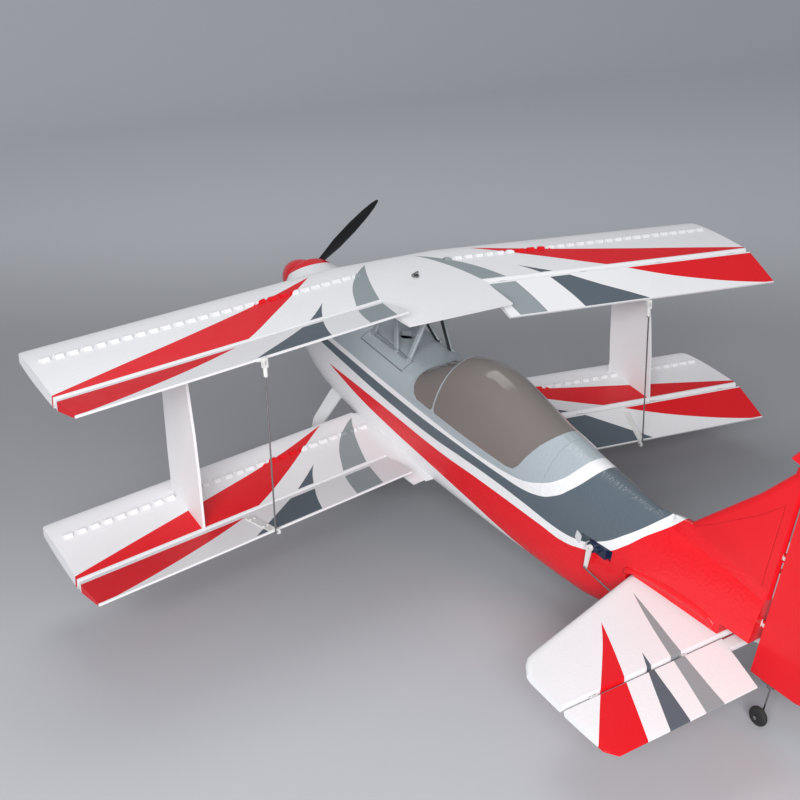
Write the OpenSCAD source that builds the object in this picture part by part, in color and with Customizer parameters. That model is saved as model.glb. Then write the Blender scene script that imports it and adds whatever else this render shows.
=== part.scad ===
// Radio controlled aerobatic biplane: foam airframe, electric motor, four
// linked ailerons, fixed tail-wheel undercarriage.
//
// Everything is drawn in the airframe's own frame and then set on its wheels
// by stance(). Airframe frame: +X to the left wing tip, +Y aft, +Z up, with
// the origin where the upper wing's hinge line meets its straight centre.

/* [Wings] */
// Span of both wings, tip to tip
wing_span = 950; // [900:10:1000]
// Chord ahead of the aileron hinge line
fixed_chord = 109; // [104:0.5:112]
// Chord of an aileron behind its hinge line
aileron_chord = 57; // [50:1:60]
// Greatest thickness of a wing
wing_thick = 14.2; // [13.5:0.1:16]
// Thickness of every trailing edge
edge_thick = 2; // [1.6:0.1:2.4]
// Sweep of the hinge lines in degrees
sweep = 8.25; // [7:0.25:9]
// Half width of the unswept centre of the upper wing
centre_half = 73; // [71:1:75]
// Height of the upper wing's chord plane above the lower wing's
wing_gap = 186.9; // [185:0.1:189]
// Distance the lower wing sits behind the upper one
stagger = 38.7; // [37:0.1:40]
// Number of vortex generators on each half wing
vg_count = 27; // [20:1:30]

/* [Control surfaces] */
// Left ailerons as photographed, trailing edge up, in degrees
left_aileron = 17; // [-25:1:25]
// Right ailerons as photographed, trailing edge up, in degrees
right_aileron = -21; // [-25:1:25]
// Half span of the tailplane
tail_half = 205; // [195:1:215]
// Chord of the elevator
elevator_chord = 62; // [58:1:66]
// Thickness of tailplane and fin
tail_thick = 8; // [7:0.5:9]

/* [Power and wheels] */
// Diameter of the propeller, a 12 inch one
prop_dia = 304.8; // [280:0.2:310]
// Pitch of the propeller, 6 inches
prop_pitch = 152.4; // [130:0.2:180]
// Direction of the blade that points up and right, degrees from the right wing
prop_turn = 41.3; // [0:0.1:90]
// Diameter of the spinner
spinner_dia = 56; // [54:1:58]
// Diameter of a main wheel
wheel_dia = 56; // [54:1:60]
// Diameter of the tail wheel
tail_wheel_dia = 20; // [18:1:22]
// Nose-up angle of the airframe when it stands on its wheels
stance_angle = 9.2; // [8:0.1:10]

/* [Hidden] */
$fn = 32;
eps = 0.01;

// Levels and stations of the airframe
upper_z = -6.5;
lower_z = upper_z - wing_gap;
thrust_z = -112;
chord = fixed_chord + aileron_chord;
half_span = wing_span / 2;
root_x = 55;
tail_z = -136;
elevator_y = 503;
rudder_y = 534;
firewall_y = -213;
cowl_y = -205;

// Fits and small stock
hinge_gap = 0.8;
hinge_bevel = 3;
pin_r = 0.8;
wire_r = 0.9;
hole_slack = 0.05;
tube_r = 3;
strut_thick = 3;

// Wheels, and the height that puts both kinds on the ground
wheel_y = -119;
wheel_z = -284;
wheel_x = 90;
tail_wheel_y = 556;
ground_z = (wheel_dia / 2 - (-wheel_y * sin(stance_angle) + wheel_z * cos(stance_angle)));
tail_wheel_z = (tail_wheel_dia / 2 - ground_z + tail_wheel_y * sin(stance_angle))
    / cos(stance_angle);
// Middle of the length, so that the origin lies below the middle of the box
middle_y = 135.7;

// ---------------------------------------------------------------- vectors
function unit(v) = v / norm(v);
function mix(a, b, t) = a + (b - a) * t;
function power_of(c, n) = sign(c) * pow(abs(c), 2 / n);

module stance()
    translate([0, -middle_y, ground_z]) rotate([-stance_angle, 0, 0]) children();

module each_side() {
    children();
    mirror([1, 0, 0]) children();
}

module on_side(side) mirror([side < 0 ? 1 : 0, 0, 0]) children();

// A round bar from p to q
module bar(p, q, r) {
    v = q - p;
    translate(p) rotate([0, acos(v[2] / norm(v)), atan2(v[1], v[0])]) cylinder(h = norm(v), r = r);
}

// Extrudes a (y, z) outline along +X
module along_x(length) rotate([90, 0, 90]) linear_extrude(length) children();

// Lofts a closed skin through rings that all have the same number of points;
// each end is closed by a fan about the middle of its ring
function middle(ring) = [for (k = [0:2]) let (v = [for (p = ring) p[k]]) v * [for (q = v) 1]
    / len(v)];
module loft(rings) {
    count = len(rings[0]);
    last = len(rings) - 1;
    first_hub = len(rings) * count;
    polyhedron(
        points = concat([for (ring = rings) each ring], [middle(rings[0]), middle(rings[last])]),
        faces = [
            for (i = [0:count - 1]) [first_hub, (i + 1) % count, i],
            for (i = [0:count - 1])
                [first_hub + 1, last * count + i, last * count + (i + 1) % count],
            for (r = [0:last - 1], i = [0:count - 1])
                let (a = r * count + i, b = r * count + (i + 1) % count)
                each [[a, b, a + count], [b, b + count, a + count]]
        ]
    );
}

// Smooth curve through the rows of a table: the value of column k at station y
function segment(table, y, i = 0) =
    i >= len(table) - 2 || y <= table[i + 1][0] ? i : segment(table, y, i + 1);
function slope(table, i, k) =
    let (a = max(i - 1, 0), b = min(i + 1, len(table) - 1))
    (table[b][k] - table[a][k]) / (table[b][0] - table[a][0]);
function curve(table, y, k) =
    let (
        i = segment(table, y),
        step = table[i + 1][0] - table[i][0],
        t = min(max((y - table[i][0]) / step, 0), 1),
        a = table[i][k], b = table[i + 1][k],
        da = slope(table, i, k) * step, db = slope(table, i + 1, k) * step
    )
    a * (1 + 2 * t) * (1 - t) * (1 - t) + b * t * t * (3 - 2 * t)
        + da * t * (1 - t) * (1 - t) - db * t * t * (1 - t);

// ------------------------------------------------------------------ wings
// Half thickness of the section at the fraction u of the chord
function section_shape(u) = 5 * (0.2969 * sqrt(u) - 0.126 * u - 0.3516 * pow(u, 2)
    + 0.2843 * pow(u, 3) - 0.1015 * pow(u, 4));
function skin(u) = (wing_thick - 0.3 * edge_thick) * section_shape(u) + edge_thick / 2 * u;
function skin_at(u, k) = [(u * chord - fixed_chord) * k, skin(u)];
function mirrored(points) = [for (i = [len(points) - 1:-1:0]) [points[i][0], -points[i][1]]];

// Ahead of the hinge line; k squeezes the chord on the swept panels
function fixed_outline(k) =
    let (
        steps = 12,
        end = (fixed_chord - hinge_bevel / k) / chord,
        top = [for (i = [0:steps]) skin_at(end * (1 - cos(90 * i / steps)), k)]
    )
    concat(top, [[-hinge_gap, 0]], [for (p = mirrored(top)) if (p[1] < 0) p]);

function aileron_outline(k) =
    let (
        steps = 4,
        start = (fixed_chord + hinge_bevel / k) / chord,
        top = [for (i = [0:steps]) skin_at(mix(start, 1, i / steps), k)]
    )
    concat([[hinge_gap, 0]], top, mirrored(top));

function whole_outline(k) =
    let (steps = 16, top = [for (i = [0:steps]) skin_at(1 - cos(90 * i / steps), k)])
    concat(top, [for (p = mirrored(top)) if (p[1] < 0) p]);

squeeze = cos(sweep);
// Sizes along the hinge line, from the corner at centre_half
function along(x) = (x - centre_half) / cos(sweep);
panel_length = along(half_span) + 12;
hinge_stations = [28, 145, 262, 379];
hinge_width = 9.4;
link_station = 209.5;
link_reach = 61.3;
servo_station = 150;
servo_back = 62;
servo_drop = 1.5;
arm_length = 14;

// The frame of one hinge line: X outboard along it, Y aft, Z up
module hinge_frame(side, back, level)
    on_side(side) translate([centre_half, back, level]) rotate([0, 0, sweep]) children();
module lower_frame(side) hinge_frame(side, stagger, lower_z) children();
module upper_frame(side) hinge_frame(side, 0, upper_z) children();

// Plan of a half wing with a rounded leading corner at the tip
module tip_plan(inner, back) {
    corner = 9;
    lead = back - fixed_chord + (half_span - centre_half) * tan(sweep);
    translate([0, 0, -300]) linear_extrude(600) polygon(concat(
        [[inner, -200], [half_span - 3 * corner, -200], [half_span - 3 * corner, lead - 30]],
        [for (a = [-80:20:0])
            [half_span - corner + corner * cos(a), lead + corner + corner * sin(a)]],
        [[half_span, 300], [inner, 300]]
    ));
}

// One leaf hinge. The fixed leaf carries a bored barrel, the moving one the pin
module leaf_body(direction) translate([-4, direction > 0 ? 1 : -13, -0.6]) cube([8, 12, 1.2]);
module fixed_leaf() difference() {
    union() {
        leaf_body(-1);
        translate([-1.8, 0, 0]) rotate([0, 90, 0]) cylinder(h = 3.6, r = 1.7);
    }
    translate([-6, 0, 0]) rotate([0, 90, 0]) cylinder(h = 12, r = pin_r + hole_slack);
    for (x = [-5, 2.1]) translate([x, -2.6, -2]) cube([2.9, 3, 4]);
}
module moving_leaf() {
    for (x = [-4.1, 2.1]) translate([x, 0, 0]) rotate([0, 90, 0]) cylinder(h = 2, r = 1.7);
    translate([-4.1, 0, 0]) rotate([0, 90, 0]) cylinder(h = 8.2, r = pin_r);
    difference() {
        leaf_body(1);
        translate([-2.1, 0, -2]) cube([4.2, 2.6, 4]);
    }
}
module barrel_room() translate([-hinge_width / 2, 0, 0]) rotate([0, 90, 0])
    cylinder(h = hinge_width, r = 2.3);

module wing_hinge_cuts() for (s = hinge_stations) translate([s, 0, 0]) {
    barrel_room();
    leaf_body(-1);
}

// Vortex generators: a row of low wedges behind the leading edge
vg_inner = [66, 43];
vg_outer = [458.5, 38.1];
module vg_row(side, back, level) on_side(side) for (i = [0:vg_count - 1]) {
    t = i / (vg_count - 1);
    x = mix(vg_inner[0], vg_outer[0], t);
    behind = mix(vg_inner[1], vg_outer[1], t);
    lead = back - fixed_chord + max(x - centre_half, 0) * tan(sweep);
    translate([x, lead + behind, level + skin(behind / chord)]) rotate([0, 0, sweep])
        translate([-4.5, 0, 0]) along_x(9)
            polygon([[-3.6, -1.2], [-2.9, 1.4], [-1.5, 2.9], [0.3, 3.3], [2, 2.6], [3.3, 1],
                [3.9, -1.2]]);
}

// Servos of the 9 gram size, shaft up along +Z from the origin, case ahead in -X
servo_long = 23;
servo_wide = 12;
servo_tall = 22.5;
module servo_case() {
    translate([-servo_long + 6, -servo_wide / 2, -servo_tall])
        cube([servo_long, servo_wide, servo_tall]);
    difference() {
        translate([-servo_long + 1.5, -servo_wide / 2, -7]) cube([32, servo_wide, 2.4]);
        for (x = [-servo_long + 4, 8]) translate([x, 0, -8]) cylinder(h = 5, r = 1);
    }
    cylinder(h = 3.6, r = servo_wide / 2 - 0.1);
    translate([-6.4, 0, 0]) cylinder(h = 3.6, r = 2.8);
    cylinder(h = 6.6, r = 2.3);
}
// The room a servo needs, open towards +Y in its own frame
module servo_room(open) {
    translate([-servo_long + 5.7, -servo_wide / 2 - 0.3, -servo_tall - 0.5])
        cube([servo_long + 0.6, open, servo_tall + 9.5]);
    translate([-servo_long + 1, -servo_wide / 2 - 0.3, -7.4]) cube([33, open, 3.2]);
    translate([-9, -servo_wide / 2 - 0.3, -eps]) cube([18, open, 9.5]);
}
// A servo arm: a splined hub and a tapering blade towards -Y, hole at its end
module servo_arm(reach) difference() {
    union() {
        translate([0, 0, 4.4]) cylinder(h = 3.6, r = 3.6);
        translate([0, 0, 5.4]) linear_extrude(1.8) polygon([
            [-3.2, 0], [3.2, 0], [2.1, -reach], [1.5, -reach - 1.6], [0, -reach - 2.3],
            [-1.5, -reach - 1.6], [-2.1, -reach]
        ]);
    }
    translate([0, 0, 4]) cylinder(h = 2.7, r = 2.3 + hole_slack);
    translate([0, 0, 3]) cylinder(h = 6, r = 1.1);
    translate([0, -reach, 4]) cylinder(h = 5, r = wire_r + hole_slack);
}

// Aileron servo in its hinge frame: shaft outboard, case forward, arm down
module aileron_servo_frame() translate([servo_station - 7, -servo_back, -servo_drop])
    rotate([90, 0, 90]) children();

module upper_wing() color("gainsboro") difference() {
    union() {
        translate([-centre_half, 0, upper_z]) along_x(2 * centre_half)
            polygon(whole_outline(1));
        each_side() intersection() {
            hinge_frame(1, 0, upper_z) translate([-30, 0, 0]) along_x(panel_length + 30)
                polygon(fixed_outline(squeeze));
            tip_plan(centre_half - 0.5, 0);
        }
        for (side = [-1, 1]) vg_row(side, 0, upper_z);
    }
    for (side = [-1, 1]) {
        upper_frame(side) wing_hinge_cuts();
        strut_blade(side);
    }
    spar_room(0, upper_z);
    translate([wing_bolt_at[0], wing_bolt_at[1], -20]) cylinder(h = 30, r = 2.1);
}

module lower_wing(side) color("gainsboro") difference() {
    union() {
        intersection() {
            lower_frame(side) translate([-40, 0, 0]) along_x(panel_length + 40)
                polygon(fixed_outline(squeeze));
            on_side(side) tip_plan(root_x, stagger);
        }
        intersection() {
            lower_frame(side) translate([-40, 0, 0]) along_x(60) polygon(whole_outline(squeeze));
            on_side(side) translate([root_x, -100, lower_z - 20])
                cube([centre_half - root_x - 0.5, 300, 40]);
        }
        vg_row(side, stagger, lower_z);
    }
    lower_frame(side) {
        wing_hinge_cuts();
        aileron_servo_frame() mirror([0, 1, 0]) servo_room(servo_wide + 8);
    }
    strut_blade(side);
    spar_room(stagger, lower_z);
}

// Carbon tubes: one in the upper wing, one that joins the lower wings
spar_half = 190;
spar_ahead = 46;
module spar_room(back, level) translate([-spar_half - 0.5, back - spar_ahead, level])
    rotate([0, 90, 0]) cylinder(h = 2 * spar_half + 1, r = tube_r + hole_slack);
module wing_spars() color("dimgray") for (place = [[0, upper_z], [stagger, lower_z]])
    translate([-spar_half, place[0] - spar_ahead, place[1]]) rotate([0, 90, 0]) difference() {
        cylinder(h = 2 * spar_half, r = tube_r);
        translate([0, 0, -1]) cylinder(h = 2 * spar_half + 2, r = tube_r - 1);
    }

// Nylon bolt with a wing head that clamps the upper wing to its cabane
wing_bolt_at = [0, -40];
module wing_bolt() color("white") translate([wing_bolt_at[0], wing_bolt_at[1], 0]) {
    translate([0, 0, -24.5]) cylinder(h = 25, r = 2);
    translate([0, 0, 0.5]) cylinder(h = 1.6, r = 4.6);
    rotate([0, 0, 24]) translate([-5.5, -0.9, 2]) cube([11, 1.8, 3.4]);
}

// -------------------------------------------------------- ailerons, horns
// Turns a piece of an aileron about its hinge line
module deflect(angle) rotate([angle, 0, 0]) children();
aileron_start = 1.6;
aileron_end = along(half_span) + 8;

// The horn that takes the rod between the ailerons. Its plate lies on the skin
module link_plate(margin = 0) translate([link_station - 4.5 - margin, 0, 0])
    along_x(9 + 2 * margin) polygon([
        [13 - margin, skin_height(13)], [aileron_chord * squeeze + 0.2, 0.9],
        [aileron_chord * squeeze + 0.2, 2.4], [13 - margin, skin_height(13) + 1.5]
    ]);
// Half thickness of an aileron at the distance y behind its hinge line
function skin_height(y) = skin((fixed_chord + y / squeeze) / chord);

module link_horn(shift) {
    edge = aileron_chord * squeeze;
    link_plate();
    difference() {
        translate([link_station + shift - 1, 0, 0]) along_x(2) polygon([
            [edge - 5, 1.6], [edge - 5, 3.2], [link_reach + 1, 3.2], [link_reach + 3.2, 1],
            [link_reach + 3, -1.8], [link_reach, -3], [link_reach - 2.6, -2.2],
            [edge + 0.5, 0.9], [edge + 0.1, 1.6]
        ]);
        translate([link_station, link_reach, 0]) rotate([0, 90, 0])
            cylinder(h = 20, r = wire_r + hole_slack, center = true);
    }
    for (y = [20, 44], x = [-2.6, 2.6])
        translate([link_station + x, y, skin_height(y) + 1]) cylinder(h = 1.2, r = 1.2);
}
// The horn that takes the servo's pushrod, on the underside
module servo_horn_plate() translate([servo_station - 5, 0, 0]) along_x(10)
    polygon([[5, -skin_height(5)], [24, -skin_height(24)], [24, -skin_height(24) - 1.5],
        [5, -skin_height(5) - 1.5]]);
module servo_horn() {
    servo_horn_plate();
    difference() {
        translate([servo_station - 1.6, 0, 0]) along_x(1.8) polygon([
            [19, -skin_height(19) - 1], [5, -skin_height(5) - 1], [-1.6, -arm_length + 1.6],
            [-2, -arm_length - 1], [0, -arm_length - 2.4], [2.2, -arm_length - 1.4],
            [11, -skin_height(8) - 5]
        ]);
        translate([servo_station, 0, -arm_length]) rotate([0, 90, 0])
            cylinder(h = 20, r = wire_r + hole_slack, center = true);
    }
}

module aileron_blank(angle) intersection() {
    deflect(angle) translate([-30, 0, 0]) along_x(panel_length + 30)
        polygon(aileron_outline(squeeze));
    // square ends, cut along the line of flight
    deflect(angle) rotate([0, 0, -sweep])
        translate([aileron_start, -60, -40]) cube([half_span - centre_half - aileron_start, 300, 80]);
}

module aileron(side, angle) difference() {
    union() {
        difference() {
            aileron_blank(angle);
            deflect(angle) for (s = hinge_stations) translate([s, 0, 0]) barrel_room();
        }
        deflect(angle) for (s = hinge_stations) translate([s, 0, 0]) moving_leaf();
    }
    children();
}
module upper_aileron(side, angle) color("firebrick") upper_frame(side) aileron(side, angle)
    deflect(angle) mirror([0, 0, 1]) link_plate(0.02);
module lower_aileron(side, angle) color("firebrick") lower_frame(side) aileron(side, angle) {
    deflect(angle) link_plate(0.02);
    deflect(angle) servo_horn_plate();
}
module upper_horn(side, angle) color("whitesmoke") upper_frame(side) deflect(angle)
    mirror([0, 0, 1]) link_horn(0);
lower_lug = -3.2;
module lower_horns(side, angle) color("whitesmoke") lower_frame(side) deflect(angle) {
    link_horn(lower_lug);
    servo_horn();
}

// The same point of the lower aileron and of the upper one, in the lower frame
link_vector = [-stagger * sin(sweep), -stagger * cos(sweep), wing_gap];
function turned(y, z, angle) =
    [y * cos(angle) - z * sin(angle), y * sin(angle) + z * cos(angle)];

// The rod between two linked ailerons: bent wire below, clevis above
module link_rod(side, angle) color("silver") lower_frame(side) {
    eye = turned(link_reach, 0, angle);
    foot = [link_station, eye[0], eye[1]];
    head = foot + link_vector;
    along_rod = unit(link_vector);
    bar(foot, head - 9 * along_rod, wire_r);
    bar(foot + [lower_lug - 2.2, 0, 0], foot + [wire_r, 0, 0], wire_r);
    translate(head) rotate([atan2(-link_vector[1], link_vector[2]), 0, 0]) {
        for (x = [-2.6, 1.3]) translate([x, 0, 0]) along_x(1.3) polygon([
            [-2.4, -8], [2.4, -8], [2.4, 0.5], [1.2, 2.4], [-1.2, 2.4], [-2.4, 0.5]
        ]);
        translate([0, 0, -19]) cylinder(h = 11.5, r = 2.3);
        translate([-2.6, -2.4, -8.5]) cube([5.2, 4.8, 3]);
        translate([-2.5, 0, 0]) rotate([0, 90, 0]) cylinder(h = 5, r = wire_r);
    }
}

module aileron_servos() color("midnightblue") for (side = [-1, 1])
    lower_frame(side) aileron_servo_frame() servo_case();
module aileron_arm(side, angle) color("whitesmoke") lower_frame(side)
    aileron_servo_frame() rotate([0, 0, angle]) servo_arm(arm_length);

// A straight rod with both ends bent at right angles into their holes
module bent_rod(front, rear, hook) {
    bar(front, rear, wire_r);
    for (p = [front, rear]) {
        bar(p, p + hook, wire_r);
        translate(p) sphere(r = wire_r + 0.02, $fn = 16);
    }
}
module aileron_pushrod(side, angle) color("silver") lower_frame(side) {
    tip = turned(0, -arm_length, angle);
    beside = servo_station + 1.6;
    bent_rod([beside, tip[0] - servo_back, tip[1] - servo_drop], [beside, tip[0], tip[1]],
        [-4.2, 0, 0]);
}

// --------------------------------------------------------------- fuselage
// Station, half width, top, bottom, level of greatest width, squareness of
// the upper and of the lower half. The canopy is part of the same form
body_table = [
    [-284, 34.5, -77.5, -146.5, -112, 2, 2],
    [-278, 39, -73.5, -151, -112, 2.1, 2.1],
    [-258, 44.5, -73.5, -161, -114, 2.2, 2.6],
    [-205, 50.5, -75, -182, -119, 2.5, 3.8],
    [-150, 53, -77, -194, -124, 2.8, 5.4],
    [-80, 53, -79, -200.5, -126, 3, 6],
    [0, 52.6, -80, -202, -127, 3, 6],
    [36, 52.2, -80, -201.8, -127, 3, 6],
    [60, 52, -62, -201.6, -126, 2.5, 6],
    [87, 51.6, -45.5, -201.2, -125, 2.2, 6],
    [118, 50.8, -37, -200.8, -124.5, 2.1, 5.8],
    [150, 49.6, -35.5, -200.4, -124, 2.1, 5.6],
    [205, 46, -46, -199.8, -124, 2.1, 5.6],
    [266, 40.5, -56.5, -199.4, -125, 2.1, 5.4],
    [340, 32.6, -62, -198, -128, 2.1, 4.8],
    [400, 24, -65, -187, -131, 2, 4],
    [460, 18, -64.5, -171.5, -134, 1.9, 3.2],
    [531, 11.5, -66, -155, -134, 1.9, 2.5]
];
function body_ring(y, inset, count = 36) =
    let (
        wide = curve(body_table, y, 1) - inset,
        top = curve(body_table, y, 2) - inset,
        bottom = curve(body_table, y, 3) + inset,
        level = curve(body_table, y, 4)
    )
    [for (i = [0:count - 1])
        let (a = 360 * i / count)
        [
            wide * power_of(cos(a), curve(body_table, y, sin(a) > 0 ? 5 : 6)),
            level + (sin(a) > 0 ? top - level : level - bottom)
                * power_of(sin(a), curve(body_table, y, sin(a) > 0 ? 5 : 6))
        ]];
module body(stations, inset, count = 36)
    loft([for (y = stations) [for (p = body_ring(y, inset, count)) [p[0], y, p[1]]]]);
body_stations = [-205, -178, -150, -115, -80, -40, 0, 36, 48, 60, 74, 87, 108, 130, 155, 180,
    205, 236, 266, 300, 340, 380, 420, 460, 499, 531];
wall = 6;
floor_z = -172;

// The hatch takes this region of the form, above the sill
hatch_front = 36;
hatch_rear = 266;
sill_z = -110;
hatch_gap = 0.3;
module hatch_region(gap) translate([-80, hatch_front - gap, sill_z - gap])
    cube([160, hatch_rear - hatch_front + 2 * gap, 100]);

module wing_saddle() difference() {
    translate([-root_x, stagger, lower_z]) along_x(2 * root_x) polygon(whole_outline(1));
    spar_room(stagger, lower_z);
}
// Notch at the tail that the elevator's tongue swings in
module tail_notch() translate([-40, elevator_y - 4, -180]) cube([80, 60, 60]);

module fuselage() color("whitesmoke") difference() {
    union() {
        difference() {
            body(body_stations, 0);
            hatch_region(0);
            intersection() {
                body([-206, -170, -120, -60, 0, 36, 48, 60, 120, 180, 240, 290], wall, 24);
                translate([-60, -206, floor_z]) cube([120, 500, 200]);
            }
            // the bay opens upwards, inside the sill
            translate([-38, 60, -120]) cube([76, 180, 80]);
        }
        wing_saddle();
    }
    spar_room(stagger, lower_z);
    tail_notch();
    tail_slot();
    fin_slot();
    gear_cut();
    tail_servo_rooms();
    rudder_hinge_places() {
        barrel_room();
        leaf_body(-1);
    }
    // the rudder horn swings past here
    translate([-18, 524, rudder_arm_z - 1.6]) cube([11, 10, 3.2]);
    // round hatch pegs, finger hole in the deck and the cabane's screw holes
    each_side() for (peg = hatch_pegs) translate([peg[0], peg[1], sill_z - 9])
        cylinder(h = 20, r = peg_r + 0.3);
    translate([0, -44, -100]) rotate([0, 0, 30]) cylinder(h = 40, r = 11, $fn = 6);
    for (side = [-1, 1], foot = cabane_feet)
        translate([side * cabane_foot_x, foot, -100]) cylinder(h = 40, r = 1.6);
}

module cowl() color("whitesmoke") difference() {
    body([-284, -281, -277, -268, -257, -242, -225, -205], 0);
    body([-279, -268, -257, -242, -225, -204], 1.6);
    translate([0, -300, thrust_z]) rotate([-90, 0, 0]) cylinder(h = 30, r = 31);
    // cooling air leaves below
    translate([-16, -228, -190]) cube([32, 18, 30]);
}

// ----------------------------------------------------------- motor and fan
motor_r = 14.5;
mount_front = -249;
module on_thrust(y) translate([0, y, thrust_z]) rotate([90, 0, 0]) children();

module motor_mount() color("dimgray") {
    // plate glued to the front of the foam
    difference() {
        translate([0, cowl_y, 0]) rotate([90, 0, 0]) linear_extrude(4)
            polygon(body_ring(cowl_y, 3.5));
        for (x = [-17, 17], z = [-17, 17]) translate([x, -190, thrust_z + z])
            rotate([90, 0, 0]) cylinder(h = 30, r = 1.6);
        translate([0, -190, thrust_z - 36]) rotate([90, 0, 0]) cylinder(h = 30, r = 8);
    }
    difference() {
        translate([-15, mount_front, thrust_z - 15]) cube([30, cowl_y - 4 - mount_front, 30]);
        translate([-12, mount_front + 3, thrust_z - 12]) cube([24, 60, 24]);
        for (turn = [0, 90]) translate([0, mount_front + 20, thrust_z]) rotate([0, turn, 0])
            cylinder(h = 60, r = 7, center = true);
        on_thrust(-240) for (a = [45:90:315]) rotate([0, 0, a]) translate([9.5, 0, 0])
            cylinder(h = 20, r = 1.6);
        on_thrust(-240) cylinder(h = 20, r = 3);
    }
}

module motor_stator() color("silver") on_thrust(mount_front) difference() {
    union() {
        for (a = [0, 90]) rotate([0, 0, a + 45]) translate([-12.5, -3.5, 0]) cube([25, 7, 2.5]);
        cylinder(h = 2.5, r = 7);
        cylinder(h = 22, r = 4);
        translate([0, 0, 6]) cylinder(h = 13, r = 6.5);
        for (a = [0:30:330]) rotate([0, 0, a]) {
            translate([5, -1, 6]) cube([6.5, 2, 13]);
            translate([10.6, -2.3, 6]) cube([1.3, 4.6, 13]);
        }
    }
    translate([0, 0, -1]) cylinder(h = 40, r = 2 + hole_slack);
    for (a = [45:90:315]) rotate([0, 0, a]) translate([9.5, 0, -1]) cylinder(h = 5, r = 1.5);
}
module motor_bell() color("silver") on_thrust(mount_front - 4) difference() {
    cylinder(h = 21, r = motor_r);
    translate([0, 0, -1]) cylinder(h = 19.5, r = motor_r - 1.6);
    translate([0, 0, -1]) cylinder(h = 40, r = 2 + hole_slack);
    for (a = [0:60:300]) rotate([0, 0, a]) translate([8.6, 0, 10]) cylinder(h = 20, r = 2.5);
}
bell_front = mount_front - 25;
plate_back = -286.5;
hub_back = -291.5;
hub_front = -302.5;
module prop_shaft() color("gray") {
    on_thrust(mount_front + 6) cylinder(h = 40, r = 2);
    on_thrust(bell_front) cylinder(h = bell_front - plate_back, r = 7);
    on_thrust(plate_back) cylinder(h = 27, r = 3);
    on_thrust(hub_front) cylinder(h = 1.2, r = 6.5);
    on_thrust(hub_front - 1.2) cylinder(h = 5.4, r = 5, $fn = 6);
}
module spinner_backplate() color("dimgray") on_thrust(plate_back) difference() {
    union() {
        cylinder(h = plate_back - hub_back, r = spinner_dia / 2 - 1.6);
        cylinder(h = 1, r = spinner_dia / 2);
    }
    translate([0, 0, -1]) cylinder(h = 10, r = 3 + hole_slack);
    for (a = [0:90:270]) rotate([0, 0, a]) translate([15, 0, -1]) cylinder(h = 10, r = 4);
}
spinner_long = 51;
// Profile of the cone: the radius falls along part of an ellipse
function spinner_r(t) = spinner_dia / 2 * pow(1 - pow(t, 2.1), 0.72);
module spinner_cone() color("firebrick") on_thrust(plate_back - 1) difference() {
    rotate_extrude($fn = 48) polygon(concat(
        [for (i = [0:12]) let (t = i / 12) [spinner_r(t), t * spinner_long]],
        [for (i = [12:-1:0]) let (t = i / 12) [max(spinner_r(t) - 1.4, 0), t * (spinner_long - 1.4)]]
    ));
    rotate([0, 0, -prop_turn]) translate([-40, -8, 2.5]) cube([80, 16, 13.9]);
}
// Blade sections: radius as a fraction, chord, thickness
blade_table = [[0.05, 12, 7], [0.12, 14, 5.6], [0.25, 22, 4], [0.45, 26.5, 2.8],
    [0.65, 24, 2.2], [0.82, 18.5, 1.7], [0.93, 12, 1.2], [0.985, 6, 0.9], [1, 2, 0.5]];
module blade() loft([for (row = blade_table)
    let (
        r = row[0] * prop_dia / 2,
        pitch = min(atan(prop_pitch / (2 * PI * r)), 38),
        ring = [for (a = [324:-36:0]) [row[1] / 2 * cos(a), row[2] / 2 * sin(a)]]
    )
    [for (p = ring) [r, p[0] * cos(pitch) - p[1] * sin(pitch),
        p[0] * sin(pitch) + p[1] * cos(pitch)]]]);
module propeller() color("black") on_thrust((hub_back + hub_front) / 2)
    rotate([0, 0, -prop_turn]) difference() {
        union() {
            cylinder(h = hub_back - hub_front, r = 8, center = true);
            for (turn = [0, 180]) rotate([0, 0, turn]) blade();
        }
        cylinder(h = 30, r = 3 + hole_slack, center = true);
    }

// ------------------------------------------------------- hatch and canopy
hatch_pegs = [[46.5, 70], [40.5, 225]];
peg_r = 2.5;
pane_seat = 1.3;
// Openings for the two panes, seen from the side
windshield_pane = [[56, -105], [49, -101], [43, -93], [39, -82], [38, -70], [60, -20],
    [83, -20], [83, -101], [80, -105]];
main_pane = [[88, -20], [88, -101], [91, -105], [212, -105], [222, -103], [228, -96],
    [234, -82], [242, -66], [250, -54], [256, -40], [256, -20]];
function grown(outline, mid, by) = [for (p = outline)
    [p[0] + (p[0] > mid ? by : -by), p[1] > -30 ? p[1] : p[1] - by]];
module panes(by) {
    translate([-80, 0, 0]) along_x(160) polygon(grown(windshield_pane, 66, by));
    translate([-80, 0, 0]) along_x(160) polygon(grown(main_pane, 160, by));
}
hatch_stations = [30, 36, 42, 50, 60, 74, 87, 102, 118, 134, 150, 178, 205, 236, 270];

module canopy_hatch() color("lightsteelblue") {
    difference() {
        intersection() {
            body(hatch_stations, 0);
            hatch_region(-hatch_gap);
        }
        difference() {
            intersection() {
                body(hatch_stations, 3.2);
                translate([-60, 0, sill_z + 3.5]) cube([120, 300, 90]);
            }
            for (y = [hatch_front, hatch_rear - 5]) translate([-60, y, -120]) cube([120, 5, 90]);
        }
        difference() {
            panes(1.5);
            body(hatch_stations, pane_seat);
        }
        panes(0);
    }
    each_side() for (peg = hatch_pegs) translate([peg[0], peg[1], sill_z - 7])
        cylinder(h = 9, r = peg_r);
}
module canopy_glass() color("gray") difference() {
    intersection() {
        body(hatch_stations, 0.1);
        panes(1.4);
    }
    body(hatch_stations, pane_seat);
}

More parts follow.
